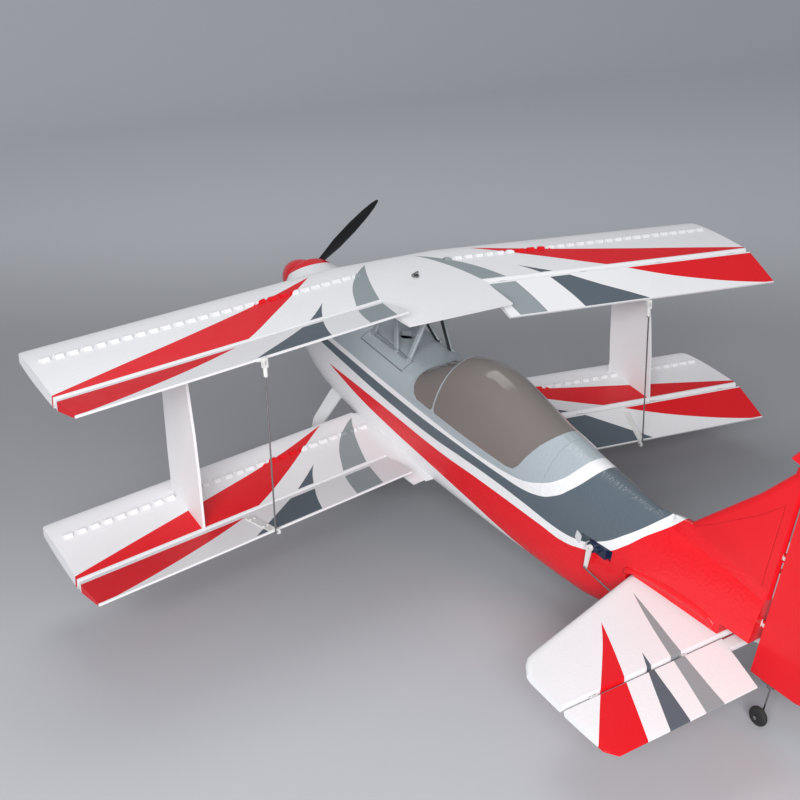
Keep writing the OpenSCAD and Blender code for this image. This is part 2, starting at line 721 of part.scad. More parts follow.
// --------------------------------------------------------- gear in the bay
module battery() color("royalblue") translate([-17, -185, floor_z + 2]) cube([34, 105, 25]);
module battery_tray() color("tan") {
    difference() {
        translate([-24, -195, floor_z]) cube([48, 190, 2]);
        for (x = [-20.5, 18.5], y = [-160, -110]) translate([x, y, floor_z - 1]) cube([2, 18, 4]);
    }
    for (y = [-158, -108]) difference() {
        translate([-18.2, y, floor_z + 1.9]) cube([36.4, 14, 26.3]);
        translate([-17, y - 1, floor_z]) cube([34, 16, 27]);
    }
}
module speed_controller() color("firebrick")
    translate([-13, -68, floor_z + 2]) cube([26, 55, 10]);
module receiver() color("black") translate([-12, 20, floor_z]) {
    cube([24, 44, 13]);
    for (i = [0:5]) translate([4 + 2.8 * i, 44, 2]) cube([2, 2.5, 8]);
}

// ------------------------------------------------- cabane and interplane
cabane_foot_x = 31.6;
cabane_feet = [-70, -19, 5.5];
cabane_top = [-76, -73, 4.5];
cabane_top_z = -13.65;
foot_z = -82;
// A flat strut from p to q: the blade lies fore and aft
module strut_bar(p, q, thick, deep) {
    v = q - p;
    translate(p) rotate([0, atan2(v[0], v[2]), 0])
        rotate([-atan2(v[1], norm([v[0], v[2]])), 0, 0])
        linear_extrude(norm(v)) polygon([
            [-thick / 2, -deep / 2 + 1], [-thick / 2 + 1, -deep / 2],
            [thick / 2 - 1, -deep / 2], [thick / 2, -deep / 2 + 1],
            [thick / 2, deep / 2 - 1], [thick / 2 - 1, deep / 2],
            [-thick / 2 + 1, deep / 2], [-thick / 2, deep / 2 - 1]
        ]);
}
module cabane(side) color("slategray") on_side(side) difference() {
    union() {
        for (i = [0:2]) {
            strut_bar([cabane_foot_x - 0.4, cabane_feet[i], foot_z - 3],
                [4, cabane_top[i], cabane_top_z - 2], 4, 7);
            translate([cabane_foot_x, cabane_feet[i], foot_z - 3.4]) cylinder(h = 5, r = 3.4);
        }
        // half of the rail under the wing, and the rail in the deck
        translate([0.2, -84, cabane_top_z - 5.1]) cube([8, 96, 5]);
        translate([cabane_foot_x - 2.5, -74, foot_z - 3.4]) cube([5, 84, 2.6]);
    }
    translate([wing_bolt_at[0], wing_bolt_at[1], -40]) cylinder(h = 40, r = 2.05);
}

// Blade between the wings, in the airframe's own frame. Its ends are let
// into both wings by a little
strut_x = 328;
strut_blade_outline = [
    [-41.5, -9.5], [22, -9.5], [27.5, -30], [47, -85], [60, -130], [66.5, -160], [71.2, -180],
    [73.4, -189.4], [60, -190.6], [-7.4, -190], [-9, -170], [-16, -140]
];
module strut_blade(side) on_side(side) translate([strut_x - strut_thick / 2, 0, 0])
    along_x(strut_thick) polygon(strut_blade_outline);
module interplane_strut(side) color("whitesmoke") strut_blade(side);

// -------------------------------------------------------------------- tail
tail_root_lead = 390;
tail_tip_lead = 440;
fin_base_z = -72;
// Half thickness of a flat tail surface a distance d behind its leading edge
function tail_half_thick(d) = tail_thick / 2 * min(1, sqrt(1 - pow(1 - min(d / 9, 1), 2)));
// A tail section: round nose at lead, bevel ahead of the hinge at hinge
function tail_section(lead, hinge) =
    let (top = [for (d = [0, 0.8, 2.6, 5.5, 9]) [lead + d, tail_half_thick(d)]])
    concat(top, [[hinge - 3, tail_thick / 2], [hinge - hinge_gap, 0.2],
        [hinge - hinge_gap, -0.2], [hinge - 3, -tail_thick / 2]],
        [for (i = [4:-1:1]) [top[i][0], -top[i][1]]]);
// A moving surface: bevel at the hinge, taper to a blunt edge
function surface_section(hinge, edge, thick = tail_thick) = [
    [hinge + hinge_gap, -0.2], [hinge + hinge_gap, 0.2], [hinge + 3, thick / 2 - 0.1],
    [mix(hinge, edge, 0.45), thick / 2 - 0.9], [edge - 1, 1], [edge, 0.4], [edge, -0.4],
    [edge - 1, -1], [mix(hinge, edge, 0.45), -thick / 2 + 0.9], [hinge + 3, -thick / 2 + 0.1]
];
function tail_lead(x) = mix(tail_root_lead, tail_tip_lead, max(x - 12, 0) / (tail_half - 12))
    + 14 * pow(max((x - tail_half + 22) / 22, 0), 2.5);

module tail_hinge_stations(stations) translate([0, elevator_y, tail_z])
    for (x = stations) translate([x, 0, 0]) children();
elevator_hinges = [-170, -62, 62, 170];
rudder_hinges = [-100, -25, 45];

module tailplane() color("whitesmoke") difference() {
    loft([for (x = [-205, -199, -191, -183, -12, 12, 183, 191, 199, 205])
        let (at = x * tail_half / 205)
        [for (p = tail_section(tail_lead(abs(at)), elevator_y)) [at, p[0], tail_z + p[1]]]]);
    tail_hinge_stations(elevator_hinges) {
        barrel_room();
        leaf_body(-1);
    }
}
module tail_slot() translate([-40, tail_root_lead - 0.5, tail_z - tail_thick / 2])
    cube([80, 150, tail_thick]);

module elevator_half() loft([for (x = [14, 48, 120, 197, 205])
    let (
        at = x > 150 ? x - 205 + tail_half : x,
        edge = elevator_y + elevator_chord - 10 * pow(max(at - tail_half + 10, 0) / 10, 2)
    )
    [for (p = surface_section(elevator_y, edge))
        [at + (x == 14 ? (p[0] - elevator_y) * 0.28 : 0), p[0], tail_z + p[1]]]]);
module elevator() color("whitesmoke") difference() {
    union() {
        difference() {
            union() {
                each_side() elevator_half();
                // the tongue that joins the halves inside the notch
                translate([-18, elevator_y, tail_z]) along_x(36)
                    polygon([[1.6, 0], [3.6, 2.7], [13.7, 2.7], [15.9, 1.7], [15.9, -1.7],
                        [13.7, -2.7], [3.6, -2.7]]);
            }
            tail_hinge_stations(elevator_hinges) barrel_room();
        }
        tail_hinge_stations(elevator_hinges) moving_leaf();
    }
    elevator_horn_plate();
}
elevator_arm_x = 38;
elevator_reach = 23;
servo_y = 347;
elevator_servo_z = -127.5;
module elevator_horn_plate() translate([elevator_arm_x - 5, elevator_y, tail_z]) along_x(10)
    polygon([[4.5, -2.9], [26, -2.2], [26, -4.9], [4.5, -5.6]]);
module elevator_horn() color("whitesmoke") {
    elevator_horn_plate();
    difference() {
        translate([elevator_arm_x - 1, elevator_y, tail_z]) along_x(2) polygon([
            [22, -4.5], [5, -5], [-2.2, -elevator_reach + 1], [-1.4, -elevator_reach - 2],
            [1.6, -elevator_reach - 2], [3.2, -elevator_reach + 1]
        ]);
        translate([elevator_arm_x, elevator_y, tail_z - elevator_reach]) rotate([0, 90, 0])
            cylinder(h = 20, r = wire_r + hole_slack, center = true);
    }
}
// The shaft points out of the left side; the case lies behind it
module elevator_servo_frame() translate([elevator_arm_x - 6.3, servo_y, elevator_servo_z])
    rotate([90, 0, 90]) rotate([0, 0, 0]) children();
module elevator_arm() color("whitesmoke") elevator_servo_frame() servo_arm(elevator_reach);
module elevator_pushrod() color("silver") bent_rod(
    [elevator_arm_x + 2.4, servo_y, elevator_servo_z - elevator_reach],
    [elevator_arm_x + 2.4, elevator_y, tail_z - elevator_reach], [-4.8, 0, 0]);

// The rudder's servo stands upright in the right side, shaft up
rudder_arm_z = -106;
rudder_servo_x = -24;
module rudder_servo_frame() translate([rudder_servo_x, servo_y, rudder_arm_z - 6.3])
    rotate([0, 0, -90]) children();
module rudder_arm() color("whitesmoke") rudder_servo_frame() servo_arm(elevator_reach);
module rudder_pushrod() color("silver") bent_rod(
    [rudder_servo_x - elevator_reach, servo_y, rudder_arm_z + 2.4],
    [-elevator_reach, rudder_y, rudder_arm_z + 2.4], [0, 0, -4.8]);
module rudder_horn() color("whitesmoke") {
    rudder_horn_plate();
    difference() {
        translate([0, 0, rudder_arm_z - 1]) linear_extrude(2) polygon([
            [-3, rudder_y + 18], [-3, rudder_y + 5], [-elevator_reach + 1, rudder_y - 2.2],
            [-elevator_reach - 2, rudder_y - 1.4], [-elevator_reach - 2, rudder_y + 1.6],
            [-elevator_reach + 1, rudder_y + 3.2]
        ]);
        translate([-elevator_reach, rudder_y, rudder_arm_z])
            cylinder(h = 20, r = wire_r + hole_slack, center = true);
    }
}
module rudder_horn_plate() translate([-5.4, rudder_y + 4.5, rudder_arm_z - 5])
    cube([2.7, 20, 10]);

module tail_servos() color("midnightblue") {
    elevator_servo_frame() mirror([1, 0, 0]) servo_case();
    rudder_servo_frame() servo_case();
}
module tail_servo_rooms() {
    elevator_servo_frame() mirror([1, 0, 0]) {
        translate([-17.4, -6.3, -23]) cube([23.8, 12.6, 40]);
        translate([-22.2, -6.3, -7.4]) cube([33.2, 12.6, 30]);
        translate([4, -2, -4]) cube([14, 8.3, 30]);
    }
    rudder_servo_frame() {
        translate([-17.4, -20, -23]) cube([23.8, 26.3, 33]);
        translate([-22.2, -20, -7.4]) cube([33.2, 26.3, 3.2]);
        translate([-9, -30, 0]) cube([18, 34, 10]);
    }
}

// Fin: sections stacked upwards between its swept nose and the hinge line
fin_top = 62;
function fin_lead(z) = mix(425, 524.8, (z + 60.4) / 114.9) + (z < -60.4 ? 10 : 0);
module fin() color("firebrick") difference() {
    loft([for (z = [fin_base_z, -58, -20, 20, fin_top - 6, fin_top])
        [for (p = tail_section(min(fin_lead(max(z, -60.4)), rudder_y - 13), rudder_y))
            [-p[1], p[0], z]]]);
    rudder_hinge_places() {
        barrel_room();
        leaf_body(-1);
    }
}
module fin_slot() translate([-tail_thick / 2, 420, fin_base_z])
    cube([tail_thick, 114, 40]);
module rudder_hinge_places() for (z = rudder_hinges)
    translate([0, rudder_y, z]) rotate([0, -90, 0]) children();

// Height, leading line and trailing line of the rudder
rudder_table = [[-151, 0, 586], [-147, 0, 603], [-130, 0, 620], [-90, 0, 632], [-40, 0, 635],
    [10, 0, 630], [50, 0, 617], [66, 0, 609], [68, -22, 607], [84, -12, 592], [90, -2, 580]];
module rudder() color("firebrick") difference() {
    union() {
        difference() {
            loft([for (row = rudder_table)
                [for (p = surface_section(rudder_y + row[1], row[2], 8.4))
                    [-p[1], p[0], row[0]]]]);
            rudder_hinge_places() barrel_room();
        }
        rudder_hinge_places() moving_leaf();
    }
    rudder_horn_plate();
    translate([0, 556, -152]) cylinder(h = 16, r = wire_r + 0.3);
}

// ------------------------------------------------------------ undercarriage
// Outline of a strip of even thickness along a path in one plane
function side_of(path, i) =
    let (
        before = unit(path[i] - path[max(i - 1, 0)] + (i == 0 ? path[1] - path[0] : [0, 0])),
        after = i == len(path) - 1 ? before : unit(path[i + 1] - path[i]),
        middle = unit(before + after)
    )
    [-middle[1], middle[0]] / max(middle * before, 0.5);
function ribbon(path, half) = concat(
    [for (i = [0:len(path) - 1]) path[i] + half * side_of(path, i)],
    [for (i = [len(path) - 1:-1:0]) path[i] - half * side_of(path, i)]);

gear_top_z = -189.2;
gear_half_wide = 11;
leg_x = wheel_x - 15;
gear_path = [[-leg_x, wheel_z - 11], [-leg_x, -238], [-leg_x + 2.2, -226],
    [-49.5, gear_top_z - 2.6], [-46.5, gear_top_z], [46.5, gear_top_z],
    [49.5, gear_top_z - 2.6], [leg_x - 2.2, -226], [leg_x, -238], [leg_x, wheel_z - 11]];
module landing_gear() color("white") difference() {
    intersection() {
        translate([0, wheel_y + 15, 0]) rotate([90, 0, 0]) linear_extrude(30)
            polygon(ribbon(gear_path, 1.25));
        translate([-120, wheel_y, 0]) along_x(240) polygon([
            [-gear_half_wide - 1, -180], [gear_half_wide + 1, -180], [gear_half_wide, -200],
            [7, wheel_z], [5.5, wheel_z - 6], [2, wheel_z - 10], [-2, wheel_z - 10],
            [-5.5, wheel_z - 6], [-7, wheel_z],
            [-gear_half_wide, -200]
        ]);
    }
    translate([-120, wheel_y, wheel_z]) rotate([0, 90, 0])
        cylinder(h = 240, r = 2 + hole_slack);
    gear_screws(1.6);
}
module gear_screws(r) for (x = [-14, 14], y = [-6, 6])
    translate([x, wheel_y + y, -230]) cylinder(h = 60, r = r);
module gear_saddle() color("whitesmoke") difference() {
    union() {
        translate([-24, wheel_y - 18, gear_top_z - 4.2]) cube([48, 36, 2.9]);
        for (x = [-14, 14], y = [-6, 6]) translate([x, wheel_y + y, gear_top_z - 5.2])
            cylinder(h = 19, r = 1.5);
        for (x = [-14, 14], y = [-6, 6]) translate([x, wheel_y + y, gear_top_z - 5.4])
            cylinder(h = 1.4, r = 2.7);
    }
    translate([0, wheel_y, gear_top_z - 5]) cylinder(h = 6, r = 5);
}
module gear_cut() {
    translate([-60, wheel_y - gear_half_wide - 1.2, gear_top_z - 30])
        cube([120, 2 * gear_half_wide + 2.4, 31.3]);
    translate([-24.2, wheel_y - 18.2, gear_top_z - 30]) cube([48.4, 36.4, 28.8]);
    for (x = [-14, 14], y = [-6, 6]) translate([x, wheel_y + y, gear_top_z - 2])
        cylinder(h = 17, r = 1.5);
}

// Teardrop spat around a main wheel: station, half width, top, bottom
pant_table = [[-56, 1.5, 3, -4], [-51, 6, 9.5, -9], [-40, 10.5, 19, -13], [-20, 13.2, 30, -15],
    [2, 13.2, 32, -15], [30, 11, 26, -13], [58, 6.5, 14, -8], [76, 1.5, 4, 0]];
function pant_ring(y, inset) =
    let (
        wide = curve(pant_table, y, 1) - inset,
        top = curve(pant_table, y, 2) - inset,
        bottom = curve(pant_table, y, 3) + inset,
        level = (top + bottom) / 2
    )
    [for (a = [0:18:342]) [wheel_x + wide * power_of(cos(a), 2.4), wheel_y + y,
        wheel_z + level + (top - bottom) / 2 * power_of(sin(a), 2.4)]];
module wheel_pant(side) color("whitesmoke") on_side(side) difference() {
    loft([for (y = [-56, -53, -47, -40, -30, -20, -8, 4, 18, 32, 46, 62, 76]) pant_ring(y, 0)]);
    loft([for (y = [-50, -40, -30, -20, -8, 4, 18, 32, 46, 58]) pant_ring(y, 1.4)]);
    translate([wheel_x - 9.6, wheel_y - 36, wheel_z - 40]) cube([19.2, 72, 40]);
    translate([wheel_x - 30, wheel_y, wheel_z]) rotate([0, 90, 0])
        cylinder(h = 60, r = 2 + hole_slack);
}
module wheel_axles() color("silver") each_side() translate([wheel_x - 17.5, wheel_y, wheel_z])
    rotate([0, 90, 0]) {
        cylinder(h = 32, r = 2);
        translate([0, 0, -1.8]) cylinder(h = 3, r = 3.6, $fn = 6);
        translate([0, 0, 31]) cylinder(h = 1.6, r = 3.4);
        translate([0, 0, 7.3]) cylinder(h = 1.4, r = 3.4);
    }

// Foam tyre on a moulded hub, one moulding, with spokes showing on both sides
module spoked_wheel(diameter, width, bore) difference() {
    rotate_extrude($fn = 48) {
        polygon(concat(
            [[diameter * 0.30, -width / 2 + 1], [diameter * 0.42, -width / 2]],
            [for (a = [-60:20:60])
                [diameter / 2 - 5 + 5 * cos(a), (width / 2 - 5 * 0.87) * sign(a) + 5 * sin(a)]],
            [[diameter * 0.42, width / 2], [diameter * 0.30, width / 2 - 1]]
        ));
        polygon([[bore, -width / 2 + 0.5], [bore + 3, -width / 2 + 0.5], [bore + 3, -2],
            [diameter * 0.31, -2], [diameter * 0.31, 2], [bore + 3, 2],
            [bore + 3, width / 2 - 0.5], [bore, width / 2 - 0.5]]);
    }
    for (a = [0:60:300]) rotate([0, 0, a]) translate([diameter * 0.2, 0, 0])
        cylinder(h = width, r = diameter * 0.055, center = true);
}
module main_wheel(side) color("black") on_side(side) translate([wheel_x, wheel_y, wheel_z])
    rotate([0, 90, 0]) spoked_wheel(wheel_dia, 16, 2 + hole_slack);

module tail_wheel_strut() color("silver") {
    foot = [-5.4, tail_wheel_y, tail_wheel_z];
    bar([0, 556, -137], [0, 556, -157], wire_r);
    bar([0, 556, -157], [-5.4, 556, -162], wire_r);
    bar([-5.4, 556, -162], foot, wire_r);
    bar(foot, foot + [10, 0, 0], wire_r);
    for (p = [[0, 556, -157], [-5.4, 556, -162], foot])
        translate(p) sphere(r = wire_r + 0.02, $fn = 16);
    translate([3.3, tail_wheel_y, tail_wheel_z]) rotate([0, 90, 0]) cylinder(h = 1.6, r = 2);
    translate([-2.6, 548, -153.2]) cube([5.2, 16, 1.8]);
}
module tail_wheel() color("black") translate([0, tail_wheel_y, tail_wheel_z])
    rotate([0, 90, 0]) difference() {
        rotate_extrude($fn = 32) polygon(concat(
            [[wire_r + hole_slack, -2.8], [tail_wheel_dia / 2 - 3, -2.8]],
            [for (a = [-60:30:60]) [tail_wheel_dia / 2 - 2.6 + 2.6 * cos(a), 2.6 * sin(a)]],
            [[tail_wheel_dia / 2 - 3, 2.8], [wire_r + hole_slack, 2.8]]
        ));
    }

// Fixed leaves of every hinge: ailerons, elevator and rudder
module hinges() color("white") {
    for (side = [-1, 1], s = hinge_stations) {
        upper_frame(side) translate([s, 0, 0]) fixed_leaf();
        lower_frame(side) translate([s, 0, 0]) fixed_leaf();
    }
    tail_hinge_stations(elevator_hinges) fixed_leaf();
    rudder_hinge_places() fixed_leaf();
}

// ---------------------------------------------------------------- drawing
stance() fuselage();
stance() cowl();
stance() motor_mount();
stance() motor_stator();
stance() battery();
stance() battery_tray();
stance() speed_controller();
stance() receiver();
stance() upper_wing();
stance() lower_wing(1);  // lower_wing_left
stance() lower_wing(-1);  // lower_wing_right
stance() wing_spars();
stance() wing_bolt();
stance() cabane(1);  // cabane_left
stance() cabane(-1);  // cabane_right
stance() interplane_strut(1);  // interplane_strut_left
stance() interplane_strut(-1);  // interplane_strut_right
stance() hinges();
stance() tailplane();
stance() fin();
stance() aileron_servos();
stance() tail_servos();
stance() landing_gear();
stance() gear_saddle();
stance() wheel_pant(1);  // wheel_pant_left
stance() wheel_pant(-1);  // wheel_pant_right
stance() wheel_axles();
stance() canopy_hatch();
stance() canopy_glass();
stance() propeller();
stance() spinner_backplate();
stance() spinner_cone();
stance() motor_bell();
stance() prop_shaft();
stance() upper_aileron(1, left_aileron);  // upper_aileron_left
stance() upper_aileron(-1, right_aileron);  // upper_aileron_right
stance() upper_horn(1, left_aileron);  // upper_horn_left
stance() upper_horn(-1, right_aileron);  // upper_horn_right
stance() lower_aileron(1, left_aileron);  // lower_aileron_left
stance() lower_aileron(-1, right_aileron);  // lower_aileron_right
stance() lower_horns(1, left_aileron);  // lower_horns_left
stance() lower_horns(-1, right_aileron);  // lower_horns_right
stance() link_rod(1, left_aileron);  // link_rod_left
stance() link_rod(-1, right_aileron);  // link_rod_right
stance() aileron_arm(1, left_aileron);  // aileron_arm_left
stance() aileron_arm(-1, right_aileron);  // aileron_arm_right
stance() aileron_pushrod(1, left_aileron);  // aileron_pushrod_left
stance() aileron_pushrod(-1, right_aileron);  // aileron_pushrod_right
stance() elevator();
stance() elevator_horn();
stance() elevator_arm();
stance() elevator_pushrod();
stance() rudder();
stance() rudder_horn();
stance() rudder_arm();
stance() rudder_pushrod();
stance() tail_wheel_strut();
stance() tail_wheel();
stance() main_wheel(1);  // main_wheel_left
stance() main_wheel(-1);  // main_wheel_right
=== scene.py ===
import math

import bmesh
import bpy
import numpy as np
from mathutils import Euler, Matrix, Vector
from mathutils.bvhtree import BVHTree


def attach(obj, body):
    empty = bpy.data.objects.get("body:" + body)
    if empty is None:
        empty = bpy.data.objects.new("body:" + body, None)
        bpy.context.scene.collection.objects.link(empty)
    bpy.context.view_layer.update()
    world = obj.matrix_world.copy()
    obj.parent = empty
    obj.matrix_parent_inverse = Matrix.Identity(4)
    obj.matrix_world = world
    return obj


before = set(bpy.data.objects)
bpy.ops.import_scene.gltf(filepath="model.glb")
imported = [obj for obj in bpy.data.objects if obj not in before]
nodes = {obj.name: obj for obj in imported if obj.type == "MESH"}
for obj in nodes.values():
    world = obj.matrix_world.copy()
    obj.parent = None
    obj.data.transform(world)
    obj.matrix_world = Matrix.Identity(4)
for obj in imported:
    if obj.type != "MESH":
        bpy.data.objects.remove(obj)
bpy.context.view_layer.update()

# ------------------------------------------------------------------------ wings and ailerons
# Both wings are moulded bead foam round a carbon spar, sprayed white with red, slate and
# silver-grey masked sweeps. A white line is left bare each side of the aileron hinge, and the
# ailerons hang on nylon leaves.

# The airframe is drawn level, in millimetres: X to the left wing tip, Y aft, Z up. On its
# wheels it sits nose up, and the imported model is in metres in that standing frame.
stance = math.radians(9.2)
ahead, risen = 135.7, 289.321


def level_group():
    """Shader group that gives a surface point back in level millimetres: distance from the
    centre line, distance aft and height, from the Object coordinates."""
    group = bpy.data.node_groups.new("level airframe", "ShaderNodeTree")
    for name in ("Out", "Aft", "Up"):
        group.interface.new_socket(name=name, in_out="OUTPUT", socket_type="NodeSocketFloat")
    place = group.nodes.new("ShaderNodeTexCoord")
    shift = group.nodes.new("ShaderNodeVectorMath")
    shift.operation = "MULTIPLY_ADD"
    shift.inputs[1].default_value = (1000, 1000, 1000)
    shift.inputs[2].default_value = (0, ahead, -risen)
    group.links.new(place.outputs["Object"], shift.inputs[0])
    end = group.nodes.new("NodeGroupOutput")
    rows = (
        ("Out", (1, 0, 0)),
        ("Aft", (0, math.cos(stance), -math.sin(stance))),
        ("Up", (0, math.sin(stance), math.cos(stance))),
    )
    for name, row in rows:
        dot = group.nodes.new("ShaderNodeVectorMath")
        dot.operation = "DOT_PRODUCT"
        dot.inputs[1].default_value = row
        group.links.new(shift.outputs[0], dot.inputs[0])
        result = dot.outputs["Value"]
        if name == "Out":
            size = group.nodes.new("ShaderNodeMath")
            size.operation = "ABSOLUTE"
            group.links.new(result, size.inputs[0])
            result = size.outputs[0]
        group.links.new(result, end.inputs[name])
    return group


level = level_group()


def srgb(*values):
    """Screen colour, 0 to 255, to the linear colour that a shader takes."""
    v = np.array(values, float) / 255
    linear = np.where(v <= 0.04045, v / 12.92, ((v + 0.055) / 1.055) ** 2.4)
    return tuple(float(x) for x in linear) + (1.0,)


white, red = srgb(226, 226, 228), srgb(214, 16, 28)
slate, silver_grey = srgb(84, 95, 104), srgb(140, 149, 152)


def smoothing_group():
    """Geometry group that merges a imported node's loose triangles and shades it smooth, except
    over edges sharper than 32 degrees."""
    group = bpy.data.node_groups.new("merge and shade", "GeometryNodeTree")
    group.interface.new_socket(name="Mesh", in_out="INPUT", socket_type="NodeSocketGeometry")
    group.interface.new_socket(name="Mesh", in_out="OUTPUT", socket_type="NodeSocketGeometry")
    start, end = group.nodes.new("NodeGroupInput"), group.nodes.new("NodeGroupOutput")
    merge = group.nodes.new("GeometryNodeMergeByDistance")
    merge.inputs["Distance"].default_value = 2e-6
    angle = group.nodes.new("GeometryNodeInputMeshEdgeAngle")
    sharp = group.nodes.new("ShaderNodeMath")
    sharp.operation = "LESS_THAN"
    sharp.inputs[1].default_value = math.radians(32)
    faces = group.nodes.new("GeometryNodeSetShadeSmooth")
    edges = group.nodes.new("GeometryNodeSetShadeSmooth")
    edges.domain = "EDGE"
    links = group.links
    links.new(start.outputs[0], merge.inputs["Geometry"])
    links.new(merge.outputs[0], faces.inputs["Geometry"])
    links.new(faces.outputs[0], edges.inputs["Geometry"])
    links.new(angle.outputs["Unsigned Angle"], sharp.inputs[0])
    links.new(sharp.outputs[0], edges.inputs["Shade Smooth"])
    links.new(edges.outputs[0], end.inputs[0])
    return group


merge_and_shade = smoothing_group()


class Finish:
    """A Principled material under construction, with short ways to add nodes and masks."""

    def __init__(self, name, colour, rough=0.5, coat=0.0, metal=0.0):
        self.material = bpy.data.materials.new(name)
        self.material.use_nodes = True
        self.tree = self.material.node_tree
        self.shader = self.tree.nodes["Principled BSDF"]
        self.shader.inputs["Base Color"].default_value = colour
        self.shader.inputs["Roughness"].default_value = rough
        self.shader.inputs["Coat Weight"].default_value = coat
        self.shader.inputs["Coat Roughness"].default_value = 0.12
        self.shader.inputs["Metallic"].default_value = metal
        self.colour = None
        self.height = None
        self.base = colour

    def node(self, kind, *inputs, **settings):
        """Adds a node; inputs in order are sockets to link, numbers to set, or None to leave."""
        made = self.tree.nodes.new("ShaderNode" + kind)
        for key, value in settings.items():
            setattr(made, key, value)
        for socket, value in zip(made.inputs, inputs):
            if isinstance(value, bpy.types.NodeSocket):
                self.tree.links.new(value, socket)
            elif value is not None:
                socket.default_value = value
        return made

    def sum(self, operation, *inputs):
        return self.node("Math", *inputs, operation=operation).outputs[0]

    def object_place(self):
        return self.node("TexCoord").outputs["Object"]

    def level_place(self):
        made = self.tree.nodes.new("ShaderNodeGroup")
        made.node_tree = level
        return made.outputs["Out"], made.outputs["Aft"], made.outputs["Up"]

    def edge(self, along, points, smooth=True):
        """A masked paint edge: a curve through (along, height) pairs, in millimetres."""
        p = np.array(points, float)
        low, high = p.min(0), p.max(0)
        span = np.maximum(high - low, 1e-3)
        share = self.sum("MULTIPLY_ADD", along, 1 / span[0], -low[0] / span[0])
        curve = self.node("FloatCurve", 1.0, share)
        rows = (p - low) / span
        knots = curve.mapping.curves[0].points
        knots[0].location, knots[1].location = rows[0], rows[-1]
        for row in rows[1:-1]:
            knots.new(*row)
        for knot in knots:
            knot.handle_type = "AUTO" if smooth else "VECTOR"
        curve.mapping.use_clip = False
        curve.mapping.extend = "EXTRAPOLATED"
        curve.mapping.update()
        return self.sum("MULTIPLY_ADD", curve.outputs[0], span[1], low[1])

    def above(self, value, limit, soft=0.35):
        """1 where value exceeds limit, 0 elsewhere, with a paint edge `soft` millimetres wide."""
        gap = self.sum("SUBTRACT", value, limit)
        mask = self.node("Math", gap, 1 / soft, 0.5, operation="MULTIPLY_ADD", use_clamp=True)
        return mask.outputs[0]

    def both(self, *masks):
        result = masks[0]
        for mask in masks[1:]:
            result = self.sum("MULTIPLY", result, mask)
        return result

    def paint(self, mask, colour):
        """Lays a colour over what is there, where the mask is 1."""
        mix = self.tree.nodes.new("ShaderNodeMix")
        mix.data_type = "RGBA"
        self.tree.links.new(mask, mix.inputs["Factor"])
        if self.colour is None:
            mix.inputs["A"].default_value = self.base
        else:
            self.tree.links.new(self.colour, mix.inputs["A"])
        mix.inputs["B"].default_value = colour
        self.colour = mix.outputs["Result"]

    def tint(self, tone):
        """Multiplies the colour so far by a tone."""
        mix = self.tree.nodes.new("ShaderNodeMix")
        mix.data_type, mix.blend_type = "RGBA", "MULTIPLY"
        mix.inputs["Factor"].default_value = 1.0
        if self.colour is None:
            mix.inputs["A"].default_value = self.base
        else:
            self.tree.links.new(self.colour, mix.inputs["A"])
        self.tree.links.new(tone, mix.inputs["B"])
        self.colour = mix.outputs["Result"]

    def uneven(self, scale, amount):
        """Slow change of tone over the surface, as in any sprayed or moulded colour."""
        noise = self.node("TexNoise", self.object_place(), None, scale, 3.0)
        self.tint(self.node("MapRange", noise.outputs[0], 0.3, 0.7, 1 - amount, 1.0).outputs[0])

    def raise_by(self, value, distance, strength=1.0):
        """Adds a bump of that height in metres on top of the bumps already there."""
        bump = self.node("Bump", invert=distance < 0)
        bump.inputs["Strength"].default_value = strength
        bump.inputs["Distance"].default_value = abs(distance)
        self.tree.links.new(value, bump.inputs["Height"])
        if self.height is not None:
            self.tree.links.new(self.height, bump.inputs["Normal"])
        self.height = bump.outputs[0]

    def roughness_from(self, value, low, high):
        spread = self.node("MapRange", value, 0.3, 0.7, low, high)
        self.tree.links.new(spread.outputs[0], self.shader.inputs["Roughness"])

    def done(self):
        if self.colour is not None:
            self.tree.links.new(self.colour, self.shader.inputs["Base Color"])
        if self.height is not None:
            self.tree.links.new(self.height, self.shader.inputs["Normal"])
            self.tree.links.new(self.height, self.shader.inputs["Coat Normal"])
        return self.material


def foam(name, colour, rough=0.48, coat=0.0, bead=0.00016):
    """Moulded bead foam: rounded beads about 3 mm across under the paint, and a slow waviness."""
    made = Finish(name, colour, rough, coat)
    made.shader.inputs["Specular IOR Level"].default_value = 0.32
    place = made.object_place()
    cells = made.node("TexVoronoi", place, None, 300.0, feature="SMOOTH_F1")
    cells.inputs["Smoothness"].default_value = 0.35
    made.raise_by(cells.outputs["Distance"], -bead, 0.5)
    wave = made.node("TexNoise", place, None, 45.0, 2.0)
    made.raise_by(wave.outputs[0], 0.0003, 0.3)
    made.roughness_from(wave.outputs[0], rough - 0.05, rough + 0.06)
    return made


def dress(material, *names):
    """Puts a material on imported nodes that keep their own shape."""
    for name in names:
        node = nodes[name]
        node.data.materials.clear()
        node.data.materials.append(material)
        shade = node.modifiers.new("merge and shade", "NODES")
        shade.node_group = merge_and_shade
        weigh = node.modifiers.new("even shading", "WEIGHTED_NORMAL")
        weigh.keep_sharp = True


hinge_corner, hinge_slope, stagger = 73, math.tan(math.radians(8.25)), 38.7
bare_ahead, bare_behind, trailing_lip = -5.0, 6.0, 52.5


